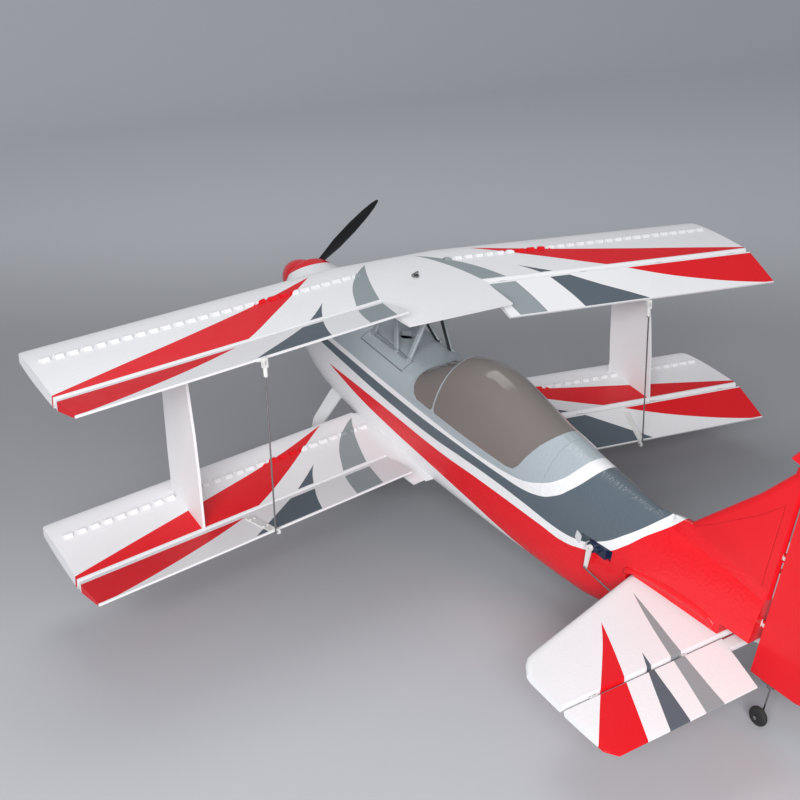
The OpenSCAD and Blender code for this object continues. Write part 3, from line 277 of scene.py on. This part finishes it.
def wing_finish(name, back, sweeps):
    """White foam with sweeps; each is (colour, front edge points, rear edge points), as
    distance out and distance aft in millimetres."""
    made = foam(name, white)
    out, aft, up = made.level_place()
    run = made.sum("MAXIMUM", made.sum("SUBTRACT", out, hinge_corner), 0.0)
    behind = made.sum("SUBTRACT", aft, made.sum("MULTIPLY_ADD", run, hinge_slope, back))
    for colour, front, rear in sweeps:
        begins = made.above(out, front[0][0])
        inside = made.both(
            begins,
            made.above(aft, made.edge(out, front)),
            made.above(made.edge(out, rear), aft),
        )
        made.paint(inside, colour)
    groove = made.both(made.above(behind, bare_ahead), made.above(bare_behind, behind))
    made.paint(groove, white)
    made.paint(made.above(behind, trailing_lip), white)
    made.uneven(9.0, 0.04)
    return made.done()


upper_sweeps = (
    (red, ((117, -91), (200, -50), (300, -11), (400, 24), (480, 52)),
     ((117, -91), (150, -61), (200, -20), (256, 22.7), (283, 39), (380, 82), (480, 114))),
    (slate, ((139.5, -21), (172.6, 9), (215, 41), (262.7, 72.4), (300, 98)),
     ((139.5, -21), (148, -8), (157.4, 10), (170, 36), (179.9, 62.6), (186, 90))),
    (silver_grey, ((36.5, -95), (62, -72), (88, -40), (106.8, -1.5), (119, 28), (128, 60)),
     ((36.5, -95), (52, -65), (65, -32), (73.9, -2.8), (82, 25), (92, 62))),
)
lower_sweeps = (
    (red, ((106.5, -60), (200, -12), (300, 26), (400, 61), (480, 89)),
     ((106.5, -60), (150, -22), (200, 20), (252, 57.7), (281, 75), (380, 120), (480, 154))),
    (slate, ((161.4, 17), (190, 42), (235, 78), (294, 124), (310, 136)),
     ((161.4, 17), (172, 33), (184, 58), (196, 84), (204.8, 108.4), (212, 132))),
    (silver_grey, ((63.7, -56.5), (89, -34), (115, -2), (134, 37), (146, 67), (155, 99)),
     ((63.7, -56.5), (79, -27), (92, 6), (101, 36), (109, 64), (119, 101))),
)
upper_paint = wing_finish("upper_wing_paint", 0.0, upper_sweeps)
lower_paint = wing_finish("lower_wing_paint", stagger, lower_sweeps)
dress(upper_paint, "upper_wing", "upper_aileron_left", "upper_aileron_right")
dress(lower_paint, "lower_wing_left", "lower_wing_right", "lower_aileron_left",
      "lower_aileron_right")

# ------------------------------------------------------------------------ fuselage and hatch
# The body is two foam halves glued down the middle, with a lift-off foam hatch. It is painted
# with a silver-grey deck, a white line, a slate band that opens over the rear deck, and a red
# band that takes the whole tail.
deck_line = ((-260, -112), (-130, -114), (50, -116), (207, -114), (237, -110), (263, -100),
             (284, -85), (296, -68), (306, -40), (320, 0))
slate_top = ((-260, -119), (-130, -121), (50, -123), (142, -121), (209, -120), (240, -119),
             (263, -114.5), (285, -103), (300, -88), (312, -71), (325, -40), (340, 0))
slate_foot = ((-260, -126), (-130, -132), (0, -137), (98, -136), (144, -133), (200, -131.5),
              (243, -133), (302, -136), (322, -133.5), (350, -120), (376, -97), (403, -65),
              (430, -20))
red_top = ((-131, -151), (-60, -149), (0, -148), (110, -147), (180, -144), (275, -145),
           (304, -146), (331, -140), (361, -125), (380, -107), (396, -87), (415, -66), (440, -30))
hatch_grey = srgb(160, 169, 175)
red_foot = ((-131, -151.5), (-100, -157), (-60, -163), (20, -169), (84, -172), (151, -177),
            (218, -186), (262, -194), (300, -206), (340, -225))
body = foam("body_paint", white, rough=0.34, coat=0.4, bead=0.0006)
out, aft, up = body.level_place()
deck, top, foot = (body.edge(aft, rows) for rows in (deck_line, slate_top, slate_foot))
warm, cool = body.edge(aft, red_top), body.edge(aft, red_foot)
body.paint(body.above(up, deck), hatch_grey)
body.paint(body.both(body.above(top, up), body.above(up, foot)), slate)
band = body.both(body.above(warm, up), body.above(up, cool), body.above(aft, red_top[0][0]))
body.paint(band, red)
tail_start = ((-150, 470), (-66, 430), (-40, 420))
body.paint(body.above(aft, body.edge(up, tail_start)), red)
# a fine line round the plate that the cabane's feet stand on
plate_in, plate_out, plate_fore, plate_aft, line_wide = 28.0, 44.6, -79.0, 12.5, 0.9
inside = body.both(body.above(out, plate_in), body.above(plate_out, out),
                   body.above(aft, plate_fore), body.above(plate_aft, aft),
                   body.above(up, -100.0))
core = body.both(body.above(out, plate_in + line_wide), body.above(plate_out - line_wide, out),
                 body.above(aft, plate_fore + line_wide),
                 body.above(plate_aft - line_wide, aft))
plate_line = body.sum("SUBTRACT", inside, body.sum("MULTIPLY", inside, core))
body.paint(plate_line, srgb(96, 100, 104))
body.uneven(9.0, 0.05)
body_paint = body.done()
dress(body_paint, "fuselage", "canopy_hatch")

# -------------------------------------------------------------------------------------- cowl
# A thin foam shell round the motor, pressed on to the nose of the body. It is white like the
# body, and red where the painted ring meets the spinner.
nose = foam("cowl_paint", white, rough=0.3, coat=0.3)
out, aft, up = nose.level_place()
ring_slant = -187.0
slant = nose.sum("ADD", up, ring_slant)
nose.paint(nose.above(slant, aft), red)
nose.uneven(9.0, 0.04)
dress(nose.done(), "cowl")

# ------------------------------------------------------------------------------ canopy panes
# The windshield and the main pane are smoked vacuum-formed plastic, glued into a rebate of
# the hatch. They let some light through to the empty cockpit.
pane = Finish("smoked_pane", srgb(150, 142, 138), 0.1, coat=0.3)
pane.shader.inputs["Transmission Weight"].default_value = 0.45
pane.shader.inputs["IOR"].default_value = 1.25
pane.uneven(6.0, 0.06)
dress(pane.done(), "canopy_glass")

# -------------------------------------------------------------------- tailplane and elevator
# Flat moulded foam, white with red, silver-grey and slate sweeps. The elevator hangs behind
# the tailplane on nylon leaves.
tail = foam("tailplane_paint", white)
out, aft, up = tail.level_place()
for colour, front, rear in (
    (red, ((100.5, 435), (118, 456), (135.4, 474.5), (165, 505), (200, 542), (230, 575)),
     ((100.5, 435), (110, 456), (122.5, 481.4), (140, 515), (160, 555), (175, 585))),
    (silver_grey, ((42.8, 416.7), (58, 452), (73, 493.2), (90, 545), (98, 570)),
     ((42.8, 416.7), (50, 450), (60.9, 494.6), (70, 540), (74, 570))),
    (slate, ((95.2, 483.7), (112, 512), (132, 550), (142, 570)),
     ((95.2, 483.7), (103, 512), (112, 550), (117, 570))),
):
    tail.paint(tail.both(tail.above(out, front[0][0]), tail.above(aft, tail.edge(out, front)),
                         tail.above(tail.edge(out, rear), aft)), colour)
tail.uneven(9.0, 0.04)
dress(tail.done(), "tailplane", "elevator")

# ---------------------------------------------------------------------------- fin and rudder
# Moulded foam, red all over. A thin line is pressed into the fin along its leading edge and
# its hinge.
red_foam = foam("red_paint", red, rough=0.4, coat=0.15)
out, aft, up = red_foam.level_place()
hinge_aft, panel_inset, panel_line = 530.0, 7.5, 1.2
lead = red_foam.edge(up, ((-70, 404), (-40, 446), (0, 492), (40, 528)), smooth=False)
inset = red_foam.sum("SUBTRACT", aft, lead)
limit = red_foam.sum("SUBTRACT", hinge_aft, aft)
nearest = red_foam.sum("MINIMUM", inset, limit)
line = red_foam.both(red_foam.above(nearest, panel_inset, 0.5),
                     red_foam.above(panel_inset + panel_line, nearest, 0.5))
red_foam.raise_by(line, -0.0006, 0.8)
red_foam.uneven(12.0, 0.08)
red_paint = red_foam.done()
dress(red_paint, "fin", "rudder")

# ------------------------------------------------------------- fin fillet and tailplane rims
# The fin grows out of the deck through a fillet, and a raised rim runs over each tailplane
# root. Both are moulded with the foam halves and carry the body's paint.
def standing(points):
    """Level airframe millimetres to standing metres: a turn about X by the stance, then a shift."""
    p = np.asarray(points, float)
    x, y, z = p[..., 0], p[..., 1], p[..., 2]
    aft = y * math.cos(stance) + z * math.sin(stance) - ahead
    up = -y * math.sin(stance) + z * math.cos(stance) + risen
    return np.stack([x, aft, up], -1) * 0.001


tail_form = np.array([[266, 40.5, -56.5, -125, 2.1], [340, 32.6, -62, -128, 2.1],
                      [400, 24, -65, -131, 2], [460, 18, -64.5, -134, 1.9],
                      [531, 11.5, -66, -134, 1.9]])


def deck_height(x, y):
    """Top of the rear body at x, y: a superellipse over the widest level, its half width,
    top, level and power interpolated along the body."""
    wide, top, level_at, power = (np.interp(y, tail_form[:, 0], tail_form[:, k])
                                  for k in (1, 2, 3, 4))
    return level_at + (top - level_at) * (1 - np.clip(np.abs(x) / wide, 0, 1) ** power) ** (
        1 / power)


def grid_mesh(name, grid, closed=False):
    """A sheet of quads over a grid of points, (rows, columns, 3), with smooth shading;
    closed joins the last column to the first."""
    rows, columns = grid.shape[:2]
    i, j = np.meshgrid(np.arange(rows - 1), np.arange(columns if closed else columns - 1),
                       indexing="ij")
    a = i * columns + j
    b = i * columns + (j + 1) % columns
    quads = np.stack([a, b, b + columns, a + columns], -1).reshape(-1, 4)
    mesh = bpy.data.meshes.new(name)
    mesh.from_pydata(grid.reshape(-1, 3).tolist(), [], quads.tolist())
    mesh.shade_smooth()
    made = bpy.data.objects.new(name, mesh)
    bpy.context.scene.collection.objects.link(made)
    return made


def outward(made):
    """Merges a closed piece's poles and turns its faces outwards."""
    shell = bmesh.new()
    shell.from_mesh(made.data)
    bmesh.ops.remove_doubles(shell, verts=shell.verts, dist=1e-7)
    bmesh.ops.holes_fill(shell, edges=[e for e in shell.edges if e.is_boundary], sides=0)
    bmesh.ops.recalc_face_normals(shell, faces=shell.faces)
    shell.to_mesh(made.data)
    shell.free()
    return made


def fin_fillet():
    """Closed strip along the fin root. Across it, a quadratic curve leaves the deck at the
    fillet's foot, turns at the corner and ends up the fin's side; its size grows from the
    front. The return path runs just under the deck."""
    y = np.linspace(388, 529, 72)[:, None]
    grown = np.clip((y - 388) / 46, 0, 1) ** 0.8
    reach = 13 * grown + 0.05
    inner = 3.7 * np.clip((y - 410) / 14, 0, 1) ** 0.5
    t = np.linspace(0, 1, 11)[None, :]
    foot = np.minimum(inner + reach, 0.93 * np.interp(y, tail_form[:, 0], tail_form[:, 1]))
    corner_z = deck_height(inner, y)
    x = (1 - t) ** 2 * foot + 2 * t * (1 - t) * inner + t**2 * inner
    z = ((1 - t) ** 2 * deck_height(foot, y) + 2 * t * (1 - t) * corner_z
         + t**2 * (corner_z + reach))
    y = y + 0 * t
    right = np.stack([x, y, z], -1)
    left = right[:, ::-1] * (-1, 1, 1)
    under = right[:, :1] * (1, 1, 1) - (0, 0, 3)
    under_left = left[:, -1:] - (0, 0, 3)
    return np.concatenate([under, right, left, under_left], 1)


fillet = outward(grid_mesh("fin_fillet", standing(fin_fillet()), closed=True))
fillet.data.materials.append(body_paint)
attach(fillet, "airframe")


def rim(side):
    """Half-round bead carried along a smooth line over the tailplane root."""
    stations = np.array([[26.6, 386, -135], [25.6, 389, -130.5], [24.8, 395, -127.2],
                         [22.9, 408, -124.6], [20.7, 428.5, -122.6], [18.3, 452.8, -121.7],
                         [16.1, 474, -121.8], [14.8, 487, -123.6], [14.4, 491.5, -127.5],
                         [14.4, 492.5, -133]])
    length = np.concatenate([[0], np.cumsum(np.linalg.norm(np.diff(stations, axis=0), axis=1))])
    s = np.linspace(0, length[-1], 90)
    line = np.stack([np.interp(s, length, stations[:, k]) for k in range(3)], -1)
    for _ in range(6):
        line[1:-1] = (line[:-2] + 2 * line[1:-1] + line[2:]) / 4
    ahead_of = np.gradient(line, axis=0)
    ahead_of /= np.linalg.norm(ahead_of, axis=1, keepdims=True)
    outer = np.array([1.0, 0.0, 0.12]) / np.linalg.norm([1.0, 0.0, 0.12])
    across = np.cross(ahead_of, outer)
    across /= np.linalg.norm(across, axis=1, keepdims=True)
    turn = np.linspace(0, 2 * math.pi, 17)[:-1]
    size = 3.4 * np.clip(np.minimum(s, s[-1] - s) / 6, 0.05, 1)[:, None, None] ** 0.5
    ring = (np.cos(turn)[None, :, None] * across[:, None] * 1.15
            + np.sin(turn)[None, :, None] * outer * 0.7)
    grid = line[:, None] + size * ring
    return grid * (side, 1, 1)


for side, name in ((1, "tailplane_rim_left"), (-1, "tailplane_rim_right")):
    piece = outward(grid_mesh(name, standing(rim(side)), closed=True))
    piece.data.materials.append(body_paint)
    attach(piece, "airframe")

# ------------------------------------------------------------------------------------ struts
# Moulded foam blades join the wings near their tips. The cabane under the wing's centre is
# grey struts of pressed plastic, dark on their inner faces, screwed to the deck.
strut = foam("strut_paint", white)
strut.uneven(12.0, 0.04)
dress(strut.done(), "interplane_strut_left", "interplane_strut_right")

cabane = Finish("cabane_paint", srgb(150, 158, 163), 0.38)
face = cabane.node("SeparateXYZ", cabane.node("TexCoord").outputs["Normal"]).outputs[0]
side = cabane.node("SeparateXYZ", cabane.object_place()).outputs[0]
inward = cabane.sum("MULTIPLY", face, cabane.sum("SIGN", side))
cabane.paint(cabane.above(-0.5, inward, 0.1), srgb(30, 31, 33))
cabane.uneven(60.0, 0.08)
dress(cabane.done(), "cabane_left", "cabane_right")

# ----------------------------------------------------------------------------- undercarriage
# A strip of bent alloy, painted pale grey, is screwed under the belly with a plastic saddle.
# Foam spats cover the wheels and are red above a curved line.
leg = Finish("leg_paint", srgb(214, 215, 216), 0.34, coat=0.2)
leg.uneven(30.0, 0.05)
dress(leg.done(), "landing_gear", "gear_saddle")

spat = foam("spat_paint", white, rough=0.32, coat=0.25)
out, aft, up = spat.level_place()
spat.paint(spat.above(up, spat.edge(aft, ((-360, -300), (-300, -262), (-240, -250), (-180, -262)))),
           red)
spat.uneven(12.0, 0.04)
dress(spat.done(), "wheel_pant_left", "wheel_pant_right")

# ------------------------------------------------------------------------------------ wheels
# Foam tyres on steel axles, with the tail wheel of the same foam on a bent wire.
tyre = Finish("foam_tyre", srgb(34, 34, 35), 0.8)
grain = tyre.node("TexNoise", tyre.object_place(), None, 900.0, 4.0)
tyre.raise_by(grain.outputs[0], 0.0002, 0.6)
tyre.uneven(90.0, 0.2)
dress(tyre.done(), "main_wheel_left", "main_wheel_right", "tail_wheel")

# --------------------------------------------------------------------- spinner and propeller
# A glossy red plastic shell turns in front of the cowl. The propeller is black glass-filled
# nylon, and so are the motor's mount and the battery's tray.
shell = Finish("spinner_shell", red, 0.22, coat=0.25)
shell.shader.inputs["Specular IOR Level"].default_value = 0.3
shell.uneven(20.0, 0.06)
dress(shell.done(), "spinner_cone")

black = Finish("black_nylon", srgb(26, 26, 28), 0.36)
grain = black.node("TexNoise", black.object_place(), None, 1800.0, 3.0)
black.raise_by(grain.outputs[0], 0.00004, 0.5)
black.uneven(40.0, 0.25)
dress(black.done(), "propeller", "motor_mount", "battery_tray")

# ----------------------------------------------------------------------- motor and electrics
# An outrunner with an alloy bell and shaft drives the propeller. The battery and the boards
# in heat-shrink wrap lie inside the body.
alloy = Finish("motor_alloy", srgb(176, 178, 182), 0.3, metal=1.0)
alloy.uneven(200.0, 0.15)
dress(alloy.done(), "motor_stator", "motor_bell", "prop_shaft", "spinner_backplate")

wrap = Finish("battery_wrap", srgb(40, 74, 140), 0.25, coat=0.3)
wrap.uneven(60.0, 0.15)
dress(wrap.done(), "battery")
wrap = Finish("controller_wrap", srgb(150, 34, 34), 0.3, coat=0.3)
wrap.uneven(60.0, 0.15)
dress(wrap.done(), "speed_controller", "receiver")

carbon = Finish("carbon", srgb(34, 35, 37), 0.3, coat=0.3)
carbon.uneven(300.0, 0.3)
dress(carbon.done(), "wing_spars")

# ------------------------------------------------------------------ horns, hinges and servos
# Horns, servo arms and hinges are moulded white nylon. The servo cases are blue-black
# plastic, half sunk in the foam.
nylon = Finish("white_nylon", srgb(216, 216, 214), 0.35)
nylon.uneven(80.0, 0.06)
white_nylon = nylon.done()
dress(white_nylon, "hinges", "upper_horn_left", "upper_horn_right", "lower_horns_left",
      "lower_horns_right", "elevator_horn", "rudder_horn", "aileron_arm_left",
      "aileron_arm_right", "elevator_arm", "rudder_arm")

case = Finish("servo_case", srgb(24, 36, 66), 0.28, coat=0.2)
case.uneven(90.0, 0.2)
dress(case.done(), "aileron_servos", "tail_servos")

# -------------------------------------------------------------------------------------- rods
# Bent spring steel wires run from the arms to the horns. Each link rod joins a lower aileron
# to the upper one and ends in a white nylon clevis.
wire = Finish("steel_wire", srgb(168, 168, 166), 0.26, metal=1.0)
wire.uneven(400.0, 0.25)
dress(wire.done(), "aileron_pushrod_left", "aileron_pushrod_right", "elevator_pushrod",
      "rudder_pushrod", "tail_wheel_strut", "wheel_axles", "wing_bolt")


def levelled(points):
    """The way back from standing metres to level millimetres."""
    p = np.asarray(points, float) * 1000
    aft, up = p[..., 1] + ahead, p[..., 2] - risen
    y = aft * math.cos(stance) - up * math.sin(stance)
    z = aft * math.sin(stance) + up * math.cos(stance)
    return np.stack([p[..., 0], y, z], -1)


clevis_long = 20.0
for name in ("link_rod_left", "link_rod_right"):
    link = Finish(name, srgb(168, 168, 166), 0.26, metal=1.0)
    rod = levelled(np.array([v.co for v in nodes[name].data.vertices]))
    end = link.above(link.level_place()[2], float(rod[:, 2].max()) - clevis_long, 0.2)
    link.paint(end, srgb(222, 222, 220))
    link.uneven(300.0, 0.15)
    link.tree.links.new(link.sum("SUBTRACT", 1.0, end), link.shader.inputs["Metallic"])
    dress(link.done(), name)

# ------------------------------------------------------------------------------------ studio
# A pale grey paper sweep: a flat floor that curves up into a backdrop behind the model's
# nose. Its colour carries painted light and shade: darkest below the model, lighter away
# from it, and lightest up the backdrop.
def sweep_surface(half, run_back, radius, height):
    """A floor strip along -Y that turns up through a quarter circle, carried along X."""
    turn = np.linspace(0, math.pi / 2, 25)
    profile = np.concatenate([
        [[3.2, 0.0], [0.0, 0.0]],
        np.stack([-run_back - radius * np.sin(turn), radius * (1 - np.cos(turn))], -1),
        [[-run_back - radius, height]],
    ])
    across = np.linspace(-half, half, 9)
    x, k = np.meshgrid(across, np.arange(len(profile)), indexing="ij")
    return np.stack([x, profile[k, 0], profile[k, 1]], -1)


backdrop = grid_mesh("studio_floor", sweep_surface(9.0, 3.0, 1.6, 5.0))
paper = Finish("studio_paper", (0.93, 0.95, 1.0, 1), 0.9)
paper.shader.inputs["Specular IOR Level"].default_value = 0.2
over = paper.node("SeparateXYZ", paper.object_place()).outputs
back = paper.sum("ADD", paper.sum("MULTIPLY", over[0], -0.56),
                 paper.sum("MULTIPLY", over[1], -0.83))
# painted light and shade on the paper: a tone along one floor direction, darkest below the model
painted_light_grade = ((-0.35, 0.5), (-0.2, 0.47), (0.0, 0.4), (0.2, 0.35), (0.6, 0.34), (1.0, 0.44),
          (1.3, 0.57), (1.7, 0.67), (2.6, 0.76))
held = paper.node("Clamp", back, painted_light_grade[0][0], painted_light_grade[-1][0]).outputs[0]
paper.tint(paper.edge(held, painted_light_grade))
backdrop.data.materials.append(paper.done())


def lamp(name, place, target, size, power):
    """A rectangular area lamp, in metres and watts, aimed at a point."""
    data = bpy.data.lights.new(name, "AREA")
    data.shape, data.size, data.size_y = "RECTANGLE", size[0], size[1]
    data.energy = power
    made = bpy.data.objects.new(name, data)
    made.location = place
    made.rotation_euler = (Vector(target) - Vector(place)).to_track_quat("-Z", "Y").to_euler()
    bpy.context.scene.collection.objects.link(made)


lamp("key_box", (1.55, 1.75, 1.1), (0, 0, 0.1), (1.5, 1.0), 72)
lamp("deck_box", (-0.05, -0.95, 2.15), (0, 0.2, 0.2), (1.2, 0.8), 11)
world = bpy.data.worlds.new("studio_air")
world.use_nodes = True
world.node_tree.nodes["Background"].inputs[0].default_value = (0.78, 0.8, 0.84, 1)
world.node_tree.nodes["Background"].inputs[1].default_value = 0.44
bpy.context.scene.world = world
bpy.context.scene.view_settings.view_transform = "Standard"

# ------------------------------------------------------------------------------------ camera
# It stands behind the left wing, a little above it, and looks down past the canopy.
lens, sensor = 54.0, 36.0
camera_stands, camera_turned = (0.78916, 0.95423, 0.70074), (67.7505, -0.0141, 145.8125)
camera_data = bpy.data.cameras.new("camera")
camera_data.lens, camera_data.sensor_width, camera_data.sensor_fit = lens, sensor, "AUTO"
camera_data.clip_start, camera_data.clip_end = 0.01, 50
camera = bpy.data.objects.new("camera", camera_data)
camera.location = camera_stands
camera.rotation_euler = Euler([math.radians(v) for v in camera_turned], "XYZ")
bpy.context.scene.collection.objects.link(camera)
bpy.context.scene.camera = camera
bpy.context.view_layer.update()


# Where things show in the photograph: (x, y), the pieces, and the way the edge faces; no
# direction means the middle of what shows.
image_points = {
    "object_left": (19.0, 354.3, ("upper_wing",), (-1, 0)),
    "object_top": (375.0, 200.2, ("propeller",), (0, -1)),
    "upper_aileron_left_corner": (74.5, 418.5, ("upper_aileron_left",), (0, 1)),
    "upper_aileron_right_corner": (775.9, 283.6, ("upper_aileron_right",), (1, 0.1)),
    "lower_wing_left_tip": (45.2, 524.2, ("lower_wing_left",), (-1, 0)),
    "lower_aileron_left_corner": (101.0, 606.5, ("lower_aileron_left",), (-0.3, 1)),
    "lower_aileron_right_corner": (762.6, 421.6, ("lower_aileron_right",), (1, 0.2)),
    "spinner_side": (286.0, 272.0, ("spinner_cone",), (-1, 0)),
    "strut_left_foot": (203.1, 528.4, ("interplane_strut_left",), (0.2, 1)),
    "link_rod_left_foot": (272.4, 532.0, ("link_rod_left",), (0, 1)),
    "pane_rear_corner": (512.5, 468.0, ("canopy_glass",), (0, 1)),
    "elevator_arm_end": (585.8, 568.3, ("elevator_arm",), (0, 1)),
    "wing_bolt": (418.0, 276.0, ("wing_bolt",), None),
    "servo_label": (578.5, 536.5, ("servo_label",), None),
}
width = height = 800
long_side = max(width, height)
camera_turn = np.array(camera.matrix_world.to_3x3())
camera_place = np.array(camera.location)


def seen_at(points):
    """Image x, y of standing points: the inverse of the ray below."""
    local = (np.asarray(points) - camera_place) @ camera_turn
    scale = long_side * camera_data.lens / camera_data.sensor_width / -local[:, 2]
    return np.stack([local[:, 0] * scale + width / 2 - camera_data.shift_x * long_side,
                     height / 2 - local[:, 1] * scale + camera_data.shift_y * long_side], -1)


def place_on(carriers, x, y):
    """The standing point where the ray through an image point meets the carriers, or the
    place on them nearest to the ray when it misses."""
    ray = Vector((x - width / 2 + camera_data.shift_x * long_side,
                  height / 2 - y + camera_data.shift_y * long_side,
                  -long_side * camera_data.lens / camera_data.sensor_width))
    ray = (camera.matrix_world.to_3x3() @ ray).normalized()
    corners, faces = [], []
    for carrier in carriers:
        mesh = carrier.data
        start = len(corners)
        corners.extend(v.co.copy() for v in mesh.vertices)
        faces.extend([start + i for i in p.vertices] for p in mesh.polygons)
    tree = BVHTree.FromPolygons(corners, faces)
    hit = tree.ray_cast(camera.location, ray)[0]
    if hit is None:
        along = (corners[0] - camera.location).dot(ray)
        hit = tree.find_nearest(camera.location + ray * along)[0]
    return np.array(hit)


# ------------------------------------------------------------- sticker at the elevator servo
# A plain silvery foil patch is stuck on the body at the front of the servo's recess. It comes
# last because its place is taken from the photograph.
centre = levelled(place_on([nodes["fuselage"]], *image_points["servo_label"][:2]))
u, v = np.meshgrid(np.linspace(-1, 1, 13), np.linspace(-1, 1, 9), indexing="ij")
long_half, high_half, stands_off = 4.6, 5.6, 0.35
edge_round = 1 - 0.1 * (u**4 + v**4)
sheet = np.stack([
    centre[0] + stands_off + 0 * u,
    centre[1] + (long_half * u) * edge_round + 0.6 * v,
    centre[2] + (high_half * v) * edge_round - 1.4 * u,
], -1)
label = grid_mesh("servo_label", standing(sheet))
solid = label.modifiers.new("foil", "SOLIDIFY")
solid.thickness, solid.offset = 0.0003, 0
foil = Finish("label_foil", srgb(206, 207, 210), 0.25, coat=0.3)
foil.uneven(220.0, 0.1)
label.data.materials.append(foil.done())
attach(label, "airframe")

# ------------------------------------------------------------- what the photograph is met by
# How far each thing shows from its image point, by the finished vertices that show, and the
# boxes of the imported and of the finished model.
bpy.context.view_layer.update()
graph = bpy.context.evaluated_depsgraph_get()
finished, corners, faces = {}, [], []
for piece in [o for o in bpy.context.scene.objects if o.type == "MESH" and o != backdrop]:
    if piece.hide_render:
        continue
    mesh = piece.evaluated_get(graph).to_mesh()
    start = len(corners)
    finished[piece.name] = [v.co.copy() for v in mesh.vertices]
    corners.extend(finished[piece.name])
    faces.extend([start + i for i in f.vertices] for f in mesh.polygons)
everything = BVHTree.FromPolygons(corners, faces)


def shows(point):
    """True where nothing stands between the camera and a point."""
    way, own_skin = point - camera.location, 0.0006
    return everything.ray_cast(camera.location, way, way.length - own_skin)[0] is None


for name, (x, y, names, toward) in image_points.items():
    seen = seen_at([v for n in names for v in finished[n] if shows(v)])
